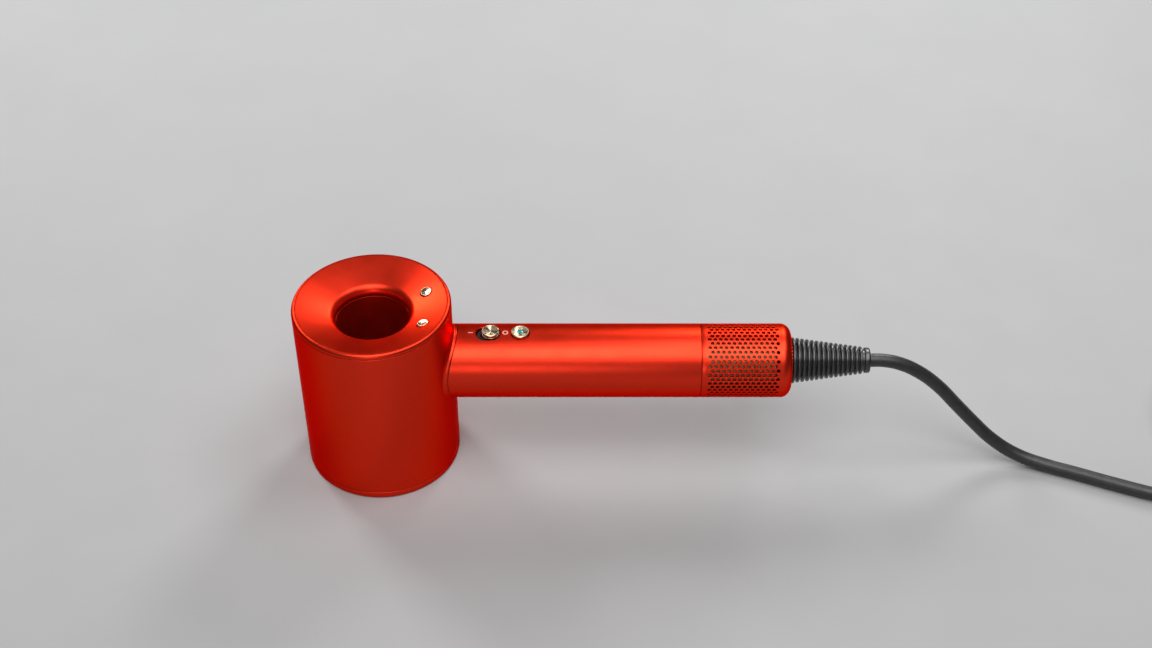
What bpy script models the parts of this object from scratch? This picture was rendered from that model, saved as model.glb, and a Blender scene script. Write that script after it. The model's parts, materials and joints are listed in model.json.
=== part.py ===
"""Hair dryer: a ring-shaped head, a round handle with the motor in it, and a mains lead.

Metres, +Z up. The dryer stands on its air outlet. +Z runs along the head's through-bore to the
rear inlet, +X along the handle to the lead, and the origin is under the middle of the dryer.
Pieces of the head are built about the bore's axis, pieces of the handle about the handle's axis,
with their heights counted along it from the bore's axis.
"""

import math

import bmesh
import bpy
from mathutils import Matrix, Vector

MM = 0.001
GAP = 0.3 * MM

# Driving dimensions
HEAD_RADIUS = 39 * MM
HEAD_DEPTH = 97 * MM
BORE_RADIUS = 18.2 * MM
HANDLE_RADIUS = 18.5 * MM
HANDLE_HEIGHT = 59.2 * MM
HANDLE_END = 207 * MM
RELIEF_END = 247 * MM
CORD_RADIUS = 3.4 * MM

# Head
HEAD_X = -(RELIEF_END - HEAD_RADIUS) / 2
SHELL_INSIDE = 36.7 * MM
SPIGOT_OUTSIDE = SHELL_INSIDE - GAP
SPIGOT_INSIDE = SHELL_INSIDE - 1.8 * MM
SPIGOT_DEPTH = 4 * MM
OUTLET_DEPTH = 4 * MM
COVER_DEPTH = 2.4 * MM
COVER_WALL = 2 * MM
FLARE_ANGLE = math.radians(19)
CREST_RADIUS = 1.8 * MM
THROAT_RADIUS = 5 * MM
THROAT_DEPTH = 10.7 * MM
SADDLE_RADIUS = 40.9 * MM
NECK_INSIDE = 16.5 * MM
SLOT_INNER = 21.5 * MM
SLOT_OUTER = 26 * MM
HEATER_BOTTOM = 12 * MM
HEATER_TOP = 37 * MM
DISTRIBUTOR_BOTTOM = 38.5 * MM
BUTTON_RING = 28.4 * MM
BUTTON_SPREAD = math.radians(24.7)
BUTTON_RADIUS = 2.9 * MM
BUTTON_FLANGE = 0.9 * MM
HEAD_SEGMENTS = 64
NECK_SEGMENTS = 40

# Handle
HANDLE_INSIDE = 16.9 * MM
CAGE_START = 161.9 * MM
CAGE_INSIDE = 17.2 * MM
CAGE_HOLE = 12.3 * MM
CAGE_ROUNDING = 5 * MM
SLIDER_PLACE = 57.6 * MM
SLIDER_RADIUS = 4.3 * MM
SLOT_PLACE = 56.4 * MM
SLOT_LENGTH = 12.4 * MM
SLOT_WIDTH = 9.6 * MM
COLD_SHOT_PLACE = 72.3 * MM
COLD_SHOT_RADIUS = 4.45 * MM
BOARD_THICKNESS = 1.2 * MM
CONTROL_DECK = 8.6 * MM
MAIN_DECK = -3.8 * MM
MOTOR_START = 118 * MM
MOTOR_END = 156.5 * MM
MOTOR_RADIUS = 13.4 * MM
SHAFT_RADIUS = 1.5 * MM
RELIEF_START = 203.3 * MM
RELIEF_RADIUS = 11.7 * MM
RELIEF_TIP = 6.4 * MM
RELIEF_RIBS = 15

# Lead: 2.7 m of cord, of which ten turns are wound on each other in the coil
COIL_CENTRE = Vector((355 * MM, 0, 0))
COIL_BASE = 1.1 * MM
COIL_MIDDLE = 38.3 * MM
COIL_TURNS = 10
COIL_LAYERS = 4
COIL_PITCH = 6.9 * MM
PLUG_START = Vector((404 * MM, -44 * MM, 13 * MM))
PLUG_LENGTH = 38 * MM
PLUG_WIDTH = 35 * MM
PLUG_HEIGHT = 26 * MM
BOOT_LENGTH = 20 * MM
PLUG_CORNER = 7 * MM
PIN_SPACING = 19 * MM
PIN_RADIUS = 2 * MM
PIN_LENGTH = 19 * MM
TIE_BAND = 0.8 * MM
TIE_WIDTH = 10 * MM

CORD_ROUTE_MM = (
    (143.3, 0, 59.2), (150, 0, 59.1), (158, -0.5, 57.6), (168, -1.5, 53), (179, -3, 44.5),
    (189, -5, 34), (199, -7, 23.5), (210, -10, 13.5), (223, -14, 6.4), (237, -19, 3.9),
    (252, -24.7, 3.5), (270, -32.2, 3.5), (290, -39.8, 3.6), (310, -45, 3.9), (327.4, -47, 4.3),
)
TAIL_ROUTE_MM = (
    (384.2, -48, 19.9), (391, -46.3, 16.5), (397.2, -44.6, 13.9), (403.4, -44, 13),
)

ORANGE = (0.72, 0.07, 0.02)
GOLD = (0.62, 0.50, 0.30)
CHARCOAL = (0.03, 0.03, 0.035)
BLACK = (0.015, 0.015, 0.017)
STEEL = (0.55, 0.55, 0.56)
COPPER = (0.60, 0.25, 0.12)
MICA = (0.45, 0.42, 0.36)
BOARD = (0.02, 0.16, 0.07)


def clear_scene():
    for obj in list(bpy.data.objects):
        bpy.data.objects.remove(obj, do_unlink=True)


def frame(name, location, rotation=None, parent=None):
    """An empty that pieces are built in, on the axis that they are turned about or slide along."""
    empty = bpy.data.objects.new(name, None)
    bpy.context.scene.collection.objects.link(empty)
    empty.parent = parent
    empty.matrix_local = Matrix.Translation(location) @ (rotation or Matrix.Identity(4))
    return empty


def finish(obj, colour, roughness, metallic=0.0):
    """The object's own material, and smooth shading across its shallow edges."""
    made = bpy.data.materials.new(obj.name)
    made.use_nodes = True
    shader = made.node_tree.nodes["Principled BSDF"]
    shader.inputs["Base Color"].default_value = (*colour, 1)
    shader.inputs["Roughness"].default_value = roughness
    shader.inputs["Metallic"].default_value = metallic
    obj.data.materials.append(made)
    if obj.type == "MESH":
        obj.data.shade_smooth()
        obj.data.set_sharp_from_angle(angle=math.radians(35))
    return obj


def add_object(name, data, parent):
    obj = bpy.data.objects.new(name, data)
    bpy.context.scene.collection.objects.link(obj)
    obj.parent = parent
    return obj


def add_mesh(name, bm, parent):
    bmesh.ops.recalc_face_normals(bm, faces=bm.faces)
    mesh = bpy.data.meshes.new(name)
    bm.to_mesh(mesh)
    bm.free()
    return add_object(name, mesh, parent)


def turned(name, profile, parent, segments=24, centre=(0, 0)):
    """A solid of revolution about local Z; its closed profile is (radius, height) pairs."""
    bm = bmesh.new()
    verts = [bm.verts.new((radius, 0, height)) for radius, height in profile]
    pairs = [pair for pair in zip(verts, verts[1:] + verts[:1]) if pair[0].co.x + pair[1].co.x > 0]
    edges = [bm.edges.new(pair) for pair in pairs]
    bmesh.ops.spin(bm, geom=verts + edges, axis=(0, 0, 1), cent=(0, 0, 0),
                   angle=math.tau, steps=segments)
    bmesh.ops.remove_doubles(bm, verts=bm.verts, dist=1e-6)
    bmesh.ops.translate(bm, verts=bm.verts, vec=(*centre, 0))
    return add_mesh(name, bm, parent)


def ring(name, inner, outer, bottom, top, parent, segments=24, centre=(0, 0)):
    profile = [(outer, top), (inner, top), (inner, bottom), (outer, bottom)]
    return turned(name, profile, parent, segments, centre)


def rod(name, radius, bottom, top, parent, segments=24, centre=(0, 0)):
    return ring(name, 0, radius, bottom, top, parent, segments, centre)


def prism(name, outline, bottom, top, parent):
    """An outline in local X and Y, extruded along local Z."""
    bm = bmesh.new()
    face = bm.faces.new([bm.verts.new((x, y, bottom)) for x, y in outline])
    made = bmesh.ops.extrude_face_region(bm, geom=[face])["geom"]
    moved = [item for item in made if isinstance(item, bmesh.types.BMVert)]
    bmesh.ops.translate(bm, verts=moved, vec=(0, 0, top - bottom))
    return add_mesh(name, bm, parent)


def block(name, low, high, parent):
    outline = [(low[0], low[1]), (high[0], low[1]), (high[0], high[1]), (low[0], high[1])]
    return prism(name, outline, low[2], high[2], parent)


def lattice(name, rows, columns, corner, keep, parent, wrap=True):
    """A plate or a sleeve with windows: cells of a grid, each kept or left open.

    corner(i, j, layer) places the grid's corners on its two faces, and keep(i, j) says which
    cells are solid. The columns close on themselves where wrap is set.
    """
    bm = bmesh.new()
    across = columns if wrap else columns + 1
    verts = {
        (i, j, layer): bm.verts.new(corner(i, j, layer))
        for i in range(rows + 1) for j in range(across) for layer in (0, 1)
    }

    def solid(i, j):
        if wrap:
            return 0 <= i < rows and keep(i, j % columns)
        return 0 <= i < rows and 0 <= j < columns and keep(i, j)

    def at(i, j, layer):
        return verts[i, j % across, layer]

    for i in range(rows):
        for j in range(columns):
            if not solid(i, j):
                continue
            around = [(i, j), (i + 1, j), (i + 1, j + 1), (i, j + 1)]
            for layer in (0, 1):
                bm.faces.new([at(*place, layer) for place in around])
            beside = [(i, j - 1), (i + 1, j), (i, j + 1), (i - 1, j)]
            for k, cell in enumerate(beside):
                if not solid(*cell):
                    a, b = around[k], around[(k + 1) % 4]
                    bm.faces.new([at(*a, 0), at(*b, 0), at(*b, 1), at(*a, 1)])
    bmesh.ops.delete(bm, geom=[v for v in bm.verts if not v.link_faces], context="VERTS")
    return add_mesh(name, bm, parent)


def spoked_angles(spokes, width, between):
    """Angles round a circle: each spoke's two edges, then even steps to the next spoke."""
    pitch = math.tau / spokes
    steps = [0] + [width + (pitch - width) * k / between for k in range(between)]
    return [spoke * pitch + step for spoke in range(spokes) for step in steps]


def spoked_plate(name, radii, spokes, width, between, bottom, top, parent, ringed):
    """Rings joined by spokes: ringed lists the bands between radii that go all the way round."""
    angles = spoked_angles(spokes, width, between)

    def corner(i, j, layer):
        return (radii[i] * math.cos(angles[j]), radii[i] * math.sin(angles[j]), (bottom, top)[layer])

    def keep(i, j):
        return i in ringed or j % (between + 1) == 0

    return lattice(name, len(radii) - 1, len(angles), corner, keep, parent)


def tube(name, points, radius, parent=None, resolution=2):
    """A round bar with flat ends along a list of points."""
    curve = bpy.data.curves.new(name, "CURVE")
    curve.dimensions = "3D"
    curve.bevel_depth = radius
    curve.bevel_resolution = resolution
    curve.use_fill_caps = True
    spline = curve.splines.new("POLY")
    spline.points.add(len(points) - 1)
    for place, point in zip(spline.points, points):
        place.co = (*point, 1)
    return add_object(name, curve, parent)


def smooth_route(places, spacing):
    """Points about a spacing apart on one smooth curve through the given places."""
    places = [Vector(place) for place in places]
    ends = [2 * places[0] - places[1], *places, 2 * places[-1] - places[-2]]
    points = []
    for a, b, c, d in zip(ends, ends[1:], ends[2:], ends[3:]):
        steps = max(1, round((c - b).length / spacing))
        for k in range(steps):
            t = k / steps
            points.append(0.5 * (2 * b + (c - a) * t + (2 * a - 5 * b + 4 * c - d) * t**2
                                 + (3 * b - a - 3 * c + d) * t**3))
    return points + [places[-1]]


def arc(centre, radius, start, end, steps):
    """(radius, height) pairs along an arc, its angles in degrees from outward to upward."""
    angles = [math.radians(start + (end - start) * k / steps) for k in range(steps + 1)]
    return [(centre[0] + radius * math.cos(a), centre[1] + radius * math.sin(a)) for a in angles]


def obround(length, width, steps=8):
    """The outline of a slot along X with round ends."""
    reach = (length - width) / 2
    right = arc((reach, 0), width / 2, -90, 90, steps)
    return right + arc((-reach, 0), width / 2, 90, 270, steps)


def helper(obj):
    obj.hide_render = True
    obj.display_type = "WIRE"
    return obj


def combine(target, other, operation="DIFFERENCE"):
    modifier = target.modifiers.new(other.name, "BOOLEAN")
    modifier.operation = operation
    modifier.object = helper(other)
    return target


def flare_profile(offset):
    """The rear cover's face from its crest to the throat, or that face moved inwards by offset."""
    normal = math.degrees(FLARE_ANGLE) + 90
    crest = (HEAD_RADIUS - CREST_RADIUS, HEAD_DEPTH - CREST_RADIUS)
    throat_x = BORE_RADIUS + THROAT_RADIUS
    run = (crest[0] - throat_x) * math.sin(FLARE_ANGLE)
    drop = (run + THROAT_RADIUS - CREST_RADIUS) / math.cos(FLARE_ANGLE)
    throat = (throat_x, crest[1] - drop)
    upper = arc(crest, CREST_RADIUS, 0, normal, 3)
    lower = arc(throat, THROAT_RADIUS - offset, normal, 180, 4)
    return lower if offset else upper + lower


def flare_height(radius):
    """The height of the flare's straight face at a radius."""
    top = arc((HEAD_RADIUS - CREST_RADIUS, HEAD_DEPTH - CREST_RADIUS), CREST_RADIUS,
              math.degrees(FLARE_ANGLE) + 90, 180, 1)[0]
    return top[1] - (top[0] - radius) * math.tan(FLARE_ANGLE)


# Head

def make_head_shell(head, handle):
    top = HEAD_DEPTH - COVER_DEPTH - GAP
    past = 5 * MM
    shell = rod("head_shell", HEAD_RADIUS, OUTLET_DEPTH + GAP, top, head, HEAD_SEGMENTS)
    neck_end = SADDLE_RADIUS + past
    neck = rod("neck_boss", HANDLE_RADIUS, HEAD_RADIUS / 2, neck_end, handle, NECK_SEGMENTS)
    saddle = rod("neck_saddle", SADDLE_RADIUS, 0, HEAD_DEPTH, head, HEAD_SEGMENTS)
    combine(neck, saddle, "INTERSECT")
    combine(shell, neck, "UNION")
    hollow = rod("shell_hollow", SHELL_INSIDE, -past, HEAD_DEPTH + past, head, HEAD_SEGMENTS)
    combine(shell, hollow)
    combine(shell, rod("neck_hollow", NECK_INSIDE, 0, neck_end + past, handle, NECK_SEGMENTS))
    finish(shell, ORANGE, 0.32, 0.6)


def make_rear_cover(head, button_frames):
    outer = flare_profile(0)
    bottom = HEAD_DEPTH - THROAT_DEPTH
    under = flare_profile(COVER_WALL)
    spigot_top = under[0][1] + (SPIGOT_INSIDE - under[0][0]) * math.tan(FLARE_ANGLE)
    step = HEAD_DEPTH - COVER_DEPTH
    spigot_bottom = step - SPIGOT_DEPTH
    profile = [(HEAD_RADIUS, step), *outer, (BORE_RADIUS, bottom), (BORE_RADIUS + COVER_WALL, bottom)]
    profile += [*reversed(under), (SPIGOT_INSIDE, spigot_top), (SPIGOT_INSIDE, spigot_bottom)]
    profile += [(SPIGOT_OUTSIDE, spigot_bottom), (SPIGOT_OUTSIDE, step)]
    cover = turned("rear_cover", profile, head, 40)
    for place in button_frames:
        cutter = rod(place.name + "_hole", BUTTON_RADIUS + GAP, -6 * MM, 4 * MM, place, 20)
        combine(cover, cutter)
    finish(cover, ORANGE, 0.3, 0.6)


def make_bore_tube(head):
    top = HEAD_DEPTH - THROAT_DEPTH - GAP
    outside = BORE_RADIUS + 1.6 * MM
    lip = 1.2 * MM
    profile = [(outside, top), (BORE_RADIUS, top), (BORE_RADIUS, 7 * MM), (18.9 * MM, 3.5 * MM)]
    profile += [(20 * MM, lip), (20.9 * MM, lip), (SLOT_INNER, 2.6 * MM)]
    profile += [(SLOT_INNER, 9 * MM), (20.6 * MM, 16 * MM), (outside, 24 * MM)]
    finish(turned("bore_tube", profile, head, 36), ORANGE, 0.35, 0.6)


def make_outlet_ring(head):
    rim, lip, wall = 1.5 * MM, 4 * MM, 1.6 * MM
    nozzle_top, floor_top = 9 * MM, 2.2 * MM
    profile = [(HEAD_RADIUS, OUTLET_DEPTH)]
    profile += arc((HEAD_RADIUS - rim, rim), rim, 0, -90, 2)
    profile += arc((SLOT_OUTER + lip, lip), lip, -90, -180, 3)
    profile += [(SLOT_OUTER, nozzle_top), (SLOT_OUTER + wall, nozzle_top)]
    profile += [(SLOT_OUTER + wall, lip), (SLOT_OUTER + 3.5 * MM, floor_top)]
    profile += [(SPIGOT_INSIDE, floor_top), (SPIGOT_INSIDE, OUTLET_DEPTH + SPIGOT_DEPTH)]
    profile += [(SPIGOT_OUTSIDE, OUTLET_DEPTH + SPIGOT_DEPTH), (SPIGOT_OUTSIDE, OUTLET_DEPTH)]
    finish(turned("outlet_ring", profile, head, 40), ORANGE, 0.32, 0.6)
    magnet_bottom = floor_top + 0.4 * MM
    magnet = ring("magnet_ring", 30 * MM, 34.4 * MM, magnet_bottom, magnet_bottom + 2.8 * MM, head, 28)
    finish(magnet, STEEL, 0.4, 0.9)


def make_heater(head):
    inner, sleeve, reach = 22 * MM, 1.2 * MM, 33 * MM
    ribs, rib_width = 12, math.radians(2.4)
    made = spoked_plate("heater_frame", (inner, inner + sleeve, reach), ribs, rib_width, 2,
                        HEATER_BOTTOM, HEATER_TOP, head, ringed=(0,))
    finish(made, MICA, 0.6)
    turns, per_turn, pitch = 3, 16, 3.4 * MM
    winding = reach + 1.25 * MM
    for number in (1, 2):
        start = HEATER_BOTTOM + (number - 1) * (HEATER_TOP - HEATER_BOTTOM) / 2 + 1.2 * MM
        points = []
        for k in range(turns * per_turn):
            angle = math.tau * k / per_turn
            height = start + pitch * k / per_turn
            points.append((winding * math.cos(angle), winding * math.sin(angle), height))
        wire = tube(f"heater_wire_{number}", points, 0.4 * MM, head, 0)
        finish(wire, STEEL, 0.4, 0.9)
    shield_inside, shield_bottom = 35.2 * MM, 8.4 * MM
    shield = ring("heat_shield", shield_inside, shield_inside + 0.6 * MM, shield_bottom,
                  DISTRIBUTOR_BOTTOM - 0.4 * MM, head, 28)
    finish(shield, MICA, 0.5)


def make_head_sensors(head):
    top = DISTRIBUTOR_BOTTOM + 1 * MM
    plate_bands = (20.1 * MM, 22 * MM, 34.4 * MM, 36.4 * MM)
    plate = spoked_plate("air_distributor", plate_bands, 12, math.radians(8), 2,
                         DISTRIBUTOR_BOTTOM, top, head, ringed=(0, 2))
    finish(plate, BLACK, 0.6)
    cutout = block("thermal_cutout", (-32 * MM, -2.5 * MM, top + GAP), (-23 * MM, 2.5 * MM, top + 3.3 * MM),
                   head)
    finish(cutout, STEEL, 0.35, 0.9)
    slot_middle = (SLOT_INNER + SLOT_OUTER) / 2
    bead = arc((0, 10.2 * MM), 1.2 * MM, -90, 90, 6)
    finish(turned("thermistor", bead, head, 10, (0, slot_middle)), BLACK, 0.4)
    emitter = block("ion_emitter", (-slot_middle - 1.3 * MM, -2 * MM, 9.2 * MM),
                    (-slot_middle + 1.3 * MM, 2 * MM, 11.4 * MM), head)
    finish(emitter, STEEL, 0.4, 0.5)


def make_head_buttons(head, button_frames):
    dish, edge = 0.35 * MM, 0.75 * MM
    flange_top = -(COVER_WALL + GAP)
    flange_bottom = flange_top - 0.8 * MM
    stem_radius, stem_end = 1 * MM, -6.3 * MM
    switch_half, switch_bottom, switch_top = 2.2 * MM, -9.4 * MM, -7.8 * MM
    for place in button_frames:
        flange_radius = BUTTON_RADIUS + BUTTON_FLANGE
        profile = [(0, dish), (1.5 * MM, dish), (BUTTON_RADIUS - 0.5 * MM, edge)]
        profile += [(BUTTON_RADIUS, 0.5 * MM), (BUTTON_RADIUS, flange_top)]
        profile += [(flange_radius, flange_top), (flange_radius, flange_bottom)]
        profile += [(stem_radius, flange_bottom), (stem_radius, stem_end), (0, stem_end)]
        name = place.name.replace("_axis", "")
        finish(turned(name, profile, place, 20), GOLD, 0.3, 0.9)
        switch = name.replace("button", "switch")
        base = block(switch, (-switch_half, -switch_half, switch_bottom),
                     (switch_half, switch_half, switch_top), place)
        plunger = rod(switch + "_plunger", 1 * MM, -8.5 * MM, switch_top + 0.4 * MM, place, 12)
        finish(combine(base, plunger, "UNION"), BLACK, 0.5)
    tilt = math.atan(math.tan(FLARE_ANGLE) * math.cos(BUTTON_SPREAD))
    place = frame("button_board_place",
                  (BUTTON_RING * math.cos(BUTTON_SPREAD), 0, flare_height(BUTTON_RING)),
                  Matrix.Rotation(-tilt, 4, "Y"), head)
    board = block("button_board", (-3 * MM, -16 * MM, -11.4 * MM), (3.2 * MM, 16 * MM, -10.2 * MM), place)
    finish(board, BOARD, 0.5)
    seal = ring("rear_seal", 35 * MM, 36.3 * MM, 88.9 * MM, 90.1 * MM, head, 28)
    finish(seal, BLACK, 0.8)


# Handle

def make_handle_tube(head, handle, controls):
    made = ring("handle_tube", HANDLE_INSIDE, HANDLE_RADIUS, 25 * MM, CAGE_START - GAP, handle, 36)
    saddle = rod("tube_saddle", SADDLE_RADIUS + GAP, -5 * MM, HEAD_DEPTH + 5 * MM, head, HEAD_SEGMENTS)
    combine(made, saddle)
    cut_bottom, cut_top = 10 * MM, 25 * MM
    outline = [(x + SLOT_PLACE, y) for x, y in obround(SLOT_LENGTH, SLOT_WIDTH)]
    combine(made, prism("slider_slot", outline, cut_bottom, cut_top, controls))
    hole = rod("cold_shot_hole", COLD_SHOT_RADIUS + GAP, cut_bottom, cut_top, controls, 24,
               (COLD_SHOT_PLACE, 0))
    combine(made, hole)
    finish(made, ORANGE, 0.32, 0.6)
    sleeve = ring("neck_sleeve", 15 * MM, 16.2 * MM, 35 * MM, 49 * MM, handle, 24)
    finish(sleeve, BLACK, 0.6)


def make_controls(controls):
    outline = [(x + SLOT_PLACE, y) for x, y in obround(SLOT_LENGTH - 0.6 * MM, SLOT_WIDTH - 0.6 * MM)]
    track = prism("slider_track", outline, 14.8 * MM, 16.8 * MM, controls)
    slit = [(x + SLIDER_PLACE - 1.25 * MM, y) for x, y in obround(7.4 * MM, 2.4 * MM, 4)]
    combine(track, prism("track_slit", slit, 13 * MM, 19 * MM, controls))
    finish(track, BLACK, 0.5)

    base = 17.1 * MM
    profile = [(0, 19.6 * MM), (2 * MM, 19.65 * MM), (3.7 * MM, 20 * MM), (SLIDER_RADIUS, 19.6 * MM)]
    profile += [(SLIDER_RADIUS, base), (0, base)]
    knob = turned("power_slider", profile, controls, 24, (SLIDER_PLACE, 0))
    stem = block("slider_stem", (SLIDER_PLACE - 1.8 * MM, -0.8 * MM, 12.9 * MM),
                 (SLIDER_PLACE + 1.8 * MM, 0.8 * MM, base + 1 * MM), controls)
    finish(combine(knob, stem, "UNION"), GOLD, 0.3, 0.9)

    profile = [(0, 18.6 * MM), (1.8 * MM, 18.6 * MM), (1.8 * MM, 19.3 * MM), (3.8 * MM, 19.5 * MM)]
    profile += [(COLD_SHOT_RADIUS, 19.2 * MM), (COLD_SHOT_RADIUS, 15.6 * MM), (5.3 * MM, 15.6 * MM)]
    profile += [(5.3 * MM, 14.9 * MM), (1.2 * MM, 14.9 * MM), (1.2 * MM, 12.5 * MM), (0, 12.5 * MM)]
    place = (COLD_SHOT_PLACE, 0)
    finish(turned("cold_shot_button", profile, controls, 24, place), GOLD, 0.3, 0.9)
    lens = rod("cold_shot_lens", 1.5 * MM, 18.9 * MM, 19.4 * MM, controls, 20, place)
    finish(lens, (0.05, 0.35, 0.38), 0.2)

    board = block("control_board", (47 * MM, -10 * MM, CONTROL_DECK - BOARD_THICKNESS),
                  (81 * MM, 10 * MM, CONTROL_DECK), controls)
    finish(board, BOARD, 0.5)
    switch = block("slide_switch", (50 * MM, -3.4 * MM, CONTROL_DECK + GAP),
                   (63.4 * MM, 3.4 * MM, 12.6 * MM), controls)
    finish(switch, STEEL, 0.35, 0.9)
    switch = block("cold_shot_switch", (COLD_SHOT_PLACE - 3 * MM, -3 * MM, CONTROL_DECK + GAP),
                   (COLD_SHOT_PLACE + 3 * MM, 3 * MM, 10.6 * MM), controls)
    plunger = rod("cold_shot_plunger", 1.2 * MM, 9.5 * MM, 11.2 * MM, controls, 12, place)
    finish(combine(switch, plunger, "UNION"), BLACK, 0.5)


def make_electronics(handle, controls):
    start, end = 82 * MM, 112 * MM
    finish(ring("foam_liner", 14.9 * MM, 16.6 * MM, start, end, handle, 24), CHARCOAL, 0.95)
    board = block("main_board", (start + 1 * MM, -11 * MM, MAIN_DECK - BOARD_THICKNESS),
                  (end - 1 * MM, 11 * MM, MAIN_DECK), controls)
    finish(board, BOARD, 0.5)
    can = rod("capacitor", 5 * MM, 90 * MM, 111 * MM, handle, 24, (1.6 * MM, 5.5 * MM))
    finish(can, BLACK, 0.4)
    sink_side, fin_pitch, fin_width, fin_root, fin_tip = 3 * MM, 2.4 * MM, 1 * MM, -1 * MM, 4 * MM
    outline = [(sink_side, MAIN_DECK + GAP)]
    for k in range(4):
        left = sink_side + fin_pitch * k
        right = left + fin_width
        outline += [(left, fin_root), (left, fin_tip), (right, fin_tip), (right, fin_root)]
    outline.append((right, MAIN_DECK + GAP))
    turn = Matrix.Rotation(math.pi / 2, 4, "Z") @ Matrix.Rotation(math.pi / 2, 4, "X")
    place = frame("module_place", (0, 0, 0), turn, controls)
    sink = prism("power_module", outline, 92 * MM, 108 * MM, place)
    finish(sink, STEEL, 0.4, 0.9)


def make_motor(handle):
    bell = 0.3 * MM
    inside = MOTOR_RADIUS - 1 * MM
    flare = MOTOR_END - 2.5 * MM
    profile = [(MOTOR_RADIUS, MOTOR_START), (MOTOR_RADIUS, flare), (MOTOR_RADIUS + bell, MOTOR_END)]
    profile += [(inside + 0.6 * MM, MOTOR_END), (inside, flare), (inside, MOTOR_START)]
    finish(turned("motor_housing", profile, handle, 28), STEEL, 0.35, 0.8)

    notch = math.radians(18)
    steps = 14
    angles = [math.pi + notch + (math.tau - 2 * notch) * k / steps for k in range(steps + 1)]
    for name, start in (("motor_mount_front", 121 * MM), ("motor_mount_rear", 149 * MM)):
        def corner(i, j, layer, start=start):
            radius = (MOTOR_RADIUS + GAP, 16.6 * MM)[i]
            return (radius * math.cos(angles[j]), radius * math.sin(angles[j]), start + layer * 3 * MM)

        mount = lattice(name, 1, steps, corner, lambda i, j: True, handle, wrap=False)
        finish(mount, BLACK, 0.85)

    core = (124.5 * MM, 134 * MM)
    pole = math.radians(24)
    made = spoked_plate("stator_core", (4.6 * MM, 10.6 * MM, 12 * MM), 4, pole, 5, *core, handle, ringed=(1,))
    finish(made, STEEL, 0.45, 0.9)
    levels = (core[0] - 1.5 * MM, core[0] - GAP, core[1] + GAP, core[1] + 1.5 * MM)
    sides = (-3.8 * MM, -2.7 * MM, 2.7 * MM, 3.8 * MM)
    windings = ring("stator_windings", 6.4 * MM, 9.6 * MM, levels[3] - 0.4 * MM, levels[3] + 1 * MM,
                    handle, 24)
    for number in range(4):
        turn = Matrix.Rotation(math.tau * number / 4 + pole / 2, 3, "Z")

        def corner(i, j, layer, turn=turn):
            return turn @ Vector(((5.6 * MM, 9.6 * MM)[layer], sides[j], levels[i]))

        coil = lattice(f"coil_{number}", 3, 3, corner, lambda i, j: (i, j) != (1, 1), handle, wrap=False)
        combine(windings, coil, "UNION")
    finish(windings, COPPER, 0.4, 0.9)


def make_rotor(handle, spin):
    finish(rod("rotor_shaft", SHAFT_RADIUS, 118.5 * MM, 155 * MM, spin, 16), STEEL, 0.25, 1)
    magnet = ring("rotor_magnet", SHAFT_RADIUS + GAP, 4.2 * MM, 124.5 * MM, 134 * MM, spin, 24)
    finish(magnet, CHARCOAL, 0.3, 0.8)
    profile = [(SHAFT_RADIUS + GAP, 146 * MM), (7 * MM, 146 * MM), (6.6 * MM, 147.5 * MM)]
    profile += [(3.4 * MM, 153.4 * MM), (SHAFT_RADIUS + GAP, 153.4 * MM)]
    impeller = turned("impeller", profile, spin, 26)
    blades = bmesh.new()
    count = 13
    for number in range(count):
        made = bmesh.ops.create_cube(blades, size=1)["verts"]
        shape = Matrix.Diagonal((8.6 * MM, 0.6 * MM, 5.4 * MM, 1))
        twist = Matrix.Rotation(math.radians(32), 4, "X")
        out = Matrix.Translation((7.3 * MM, 0, 149.2 * MM))
        turn = Matrix.Rotation(math.tau * number / count, 4, "Z")
        bmesh.ops.transform(blades, matrix=turn @ out @ twist @ shape, verts=made)
    combine(impeller, add_mesh("impeller_blades", blades, spin), "UNION")
    combine(impeller, rod("impeller_bore", SHAFT_RADIUS + GAP, 140 * MM, 160 * MM, spin, 26))
    finish(impeller, STEEL, 0.35, 0.9)
    for name, start in (("front_bearing", 119.4 * MM), ("rear_bearing", 139.4 * MM)):
        bearing = ring(name, SHAFT_RADIUS + GAP, 4.2 * MM, start, start + 2.8 * MM, handle, 16)
        finish(bearing, STEEL, 0.25, 1)
    made = spoked_plate("diffuser", (4.5 * MM, 5.7 * MM, 11.2 * MM, 12.1 * MM), 11, math.radians(6), 1,
                        138.6 * MM, 143.4 * MM, handle, ringed=(0, 2))
    finish(made, BLACK, 0.5)


def make_filter(handle):
    angles = spoked_angles(6, math.radians(9), 2)
    levels = [z * MM for z in (164, 167, 180, 183, 196.4, 199.6)]

    def corner(i, j, layer):
        radius = (14.5 * MM, 15.7 * MM)[layer]
        return (radius * math.cos(angles[j]), radius * math.sin(angles[j]), levels[i])

    made = lattice("filter_frame", 5, len(angles), corner, lambda i, j: i % 2 == 0 or j % 3 == 0, handle)
    finish(made, BLACK, 0.6)
    mesh = ring("filter_mesh", 16.1 * MM, 16.6 * MM, 163.5 * MM, 200 * MM, handle, 24)
    finish(mesh, (0.30, 0.22, 0.07), 0.4, 0.8)

    wall = HANDLE_RADIUS - CAGE_INSIDE
    corner_place = (HANDLE_RADIUS - CAGE_ROUNDING, HANDLE_END - CAGE_ROUNDING)
    profile = [(HANDLE_RADIUS, CAGE_START), *arc(corner_place, CAGE_ROUNDING, 0, 90, 4)]
    profile += [(CAGE_HOLE, HANDLE_END), (CAGE_HOLE, HANDLE_END - wall)]
    profile += [*arc(corner_place, CAGE_ROUNDING - wall, 90, 0, 3), (CAGE_INSIDE, CAGE_START)]
    finish(turned("filter_cage", profile, handle, 36), ORANGE, 0.32, 0.6)


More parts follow.
